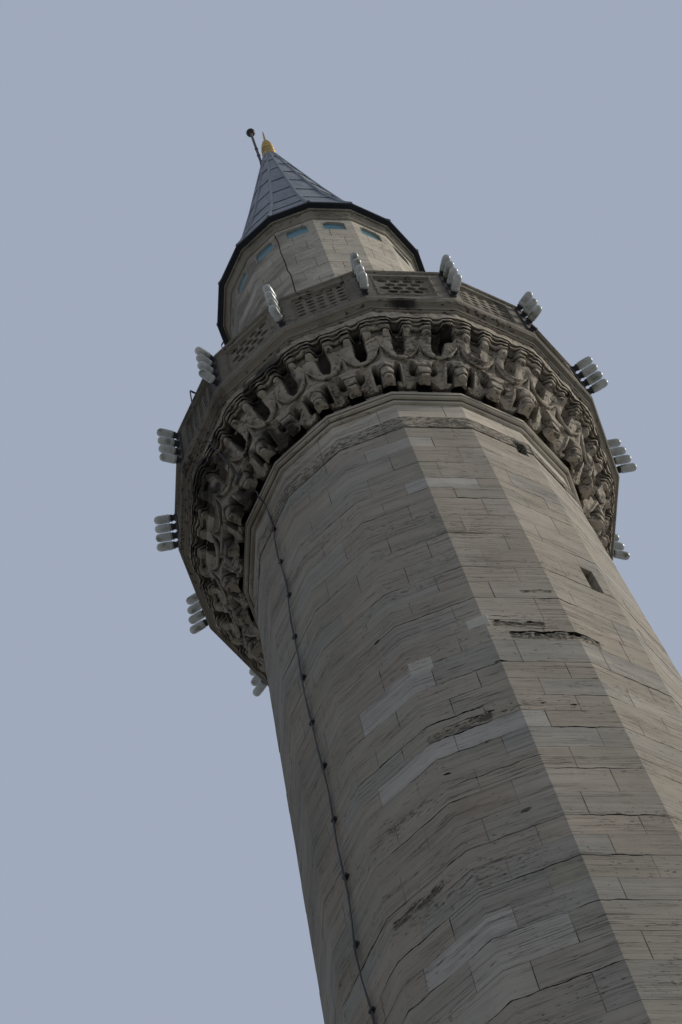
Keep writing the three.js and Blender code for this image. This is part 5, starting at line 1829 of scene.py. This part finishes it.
def off_ridge(azimuth, share):
    """A point off the transition's ridge from the square corner to a corner of the sixteen sides."""
    ridge_foot = Vector((-BASE_HALF, -BASE_HALF, BASE_CORNICE_TOP + 0.18))
    point = ridge_foot.lerp(around(azimuth, shaft_radius(TRANSITION_TOP) + 0.04, TRANSITION_TOP), share)
    return point + Vector((point.x, point.y, 0)).normalized() * 0.029


cable_route = []
for z in SPIRE_HEIGHTS:
    radius = spire_radius(z) * TO_APOTHEM + STAND_OFF + 0.006 * math.cos(2 * z)
    cable_route.append(around(ROD_AZIMUTH + 1.2 * math.sin(3 * z), radius, z))
cable_route += [around(ROD_AZIMUTH, radius, z) for radius, z in (
    (EAVE_RADIUS + 0.008, EAVE_TOP + 0.012),
    (EAVE_RADIUS + 0.008, EAVE_FOOT - 0.014),
    (UPPER_RADIUS + 0.02, UPPER_WALL_TOP - 0.02),
    (UPPER_RADIUS + 0.014, 25.4),
    (UPPER_RADIUS + 0.02, SLAB_TOP + 0.012),
)]
inside_rail = rail_inside * TO_APOTHEM - STAND_OFF
outside_rail = PARAPET_RADIUS + 0.02
cable_route += [around(CABLE_AZIMUTH, radius, z) for radius, z in (
    (inside_rail, SLAB_TOP + 0.012),
    (inside_rail, RAIL_TOP + 0.014),
    (outside_rail, RAIL_TOP + 0.014),
    (outside_rail, SLAB_FOOT - 0.01),
    (1.4, TIER_TOPS[0]),
    (1.33, RING_TOP + 0.13),
    (1.236, RING_TOP - 0.02),
    (1.232, RING_FOOT),
)]
z = RING_FOOT - 0.06
while z > FOOT_RING_TOP + 0.25:
    slack = 0.006 * (1 + math.sin(5.1 * z))
    radius = shaft_radius(z) * TO_APOTHEM + STAND_OFF + slack
    cable_route.append(around(CABLE_AZIMUTH + cable_sway(z), radius, z))
    z -= CABLE_STEP
foot_radius = shaft_radius(FOOT_RING_TOP)
cable_route += [around(CABLE_AZIMUTH, radius, z) for radius, z in (
    (foot_radius * TO_APOTHEM + 0.044, FOOT_RING_TOP + 0.04),
    ((foot_radius + 0.108) * TO_APOTHEM + STAND_OFF, FOOT_RING_TOP - 0.1),
    ((foot_radius + 0.112) * TO_APOTHEM + STAND_OFF, TRANSITION_TOP + 0.1),
    (foot_radius + 0.07, TRANSITION_TOP - 0.03),
)]
cable_route += [off_ridge(-1.5 * FACET_ANGLE, 0.15), off_ridge(-0.5 * FACET_ANGLE, 0.1)]
cable_route += [Vector((CABLE_ON_BASE, -BASE_HALF - off_wall, z)) for off_wall, z in (
    (0.026, BASE_CORNICE_TOP + 0.16),
    (0.05, BASE_CORNICE_TOP),
    (0.104, BASE_CORNICE_TOP - 0.08),
    (0.104, BASE_TOP + 0.07),
    (0.052, BASE_TOP - 0.02),
    (STAND_OFF, BASE_TOP - 0.08),
    (STAND_OFF, PLINTH_TOP + 0.008),
)]


def beside(points, distance):
    """The same route a little to one side along the wall, crossing over from time to time."""
    moved = []
    for i, point in enumerate(points):
        across = Vector((-point.y, point.x, 0)).normalized()
        moved.append(point + across * distance * math.cos(1.3 * i))
    return moved


cables = [rod_along(beside(cable_route, side * CABLE_APART), CABLE_RADIUS, 6) for side in (-1, 1)]
cable_clips = []
base_face = -BASE_HALF - 0.0003
for foot in (PLINTH_TOP + 0.7, PLINTH_TOP + 2.2, PLINTH_TOP + 3.7):
    clip = block(0.04, base_face - CLIP_DEPTH, base_face, foot, foot + 0.024, CABLE_ON_BASE)
    cable_clips.append(bevelled(clip, 0.003, 1))
for i in range(16):
    foot = FIRST_CLIP + CLIP_SPACING * i
    face = shaft_radius(foot) * TO_APOTHEM + 0.0003
    clip = bevelled(block(0.034, -face - CLIP_DEPTH, -face, foot, foot + 0.022), 0.003, 1)
    clip.data.transform(Matrix.Rotation(math.radians(CABLE_AZIMUTH + cable_sway(foot)), 4, "Z"))
    cable_clips.append(clip)
cables = joined([*cables, *cable_clips])
set_in_tower(cables, "conductor_cables", [socket_plastic], ["lightning_conductor"], 40)
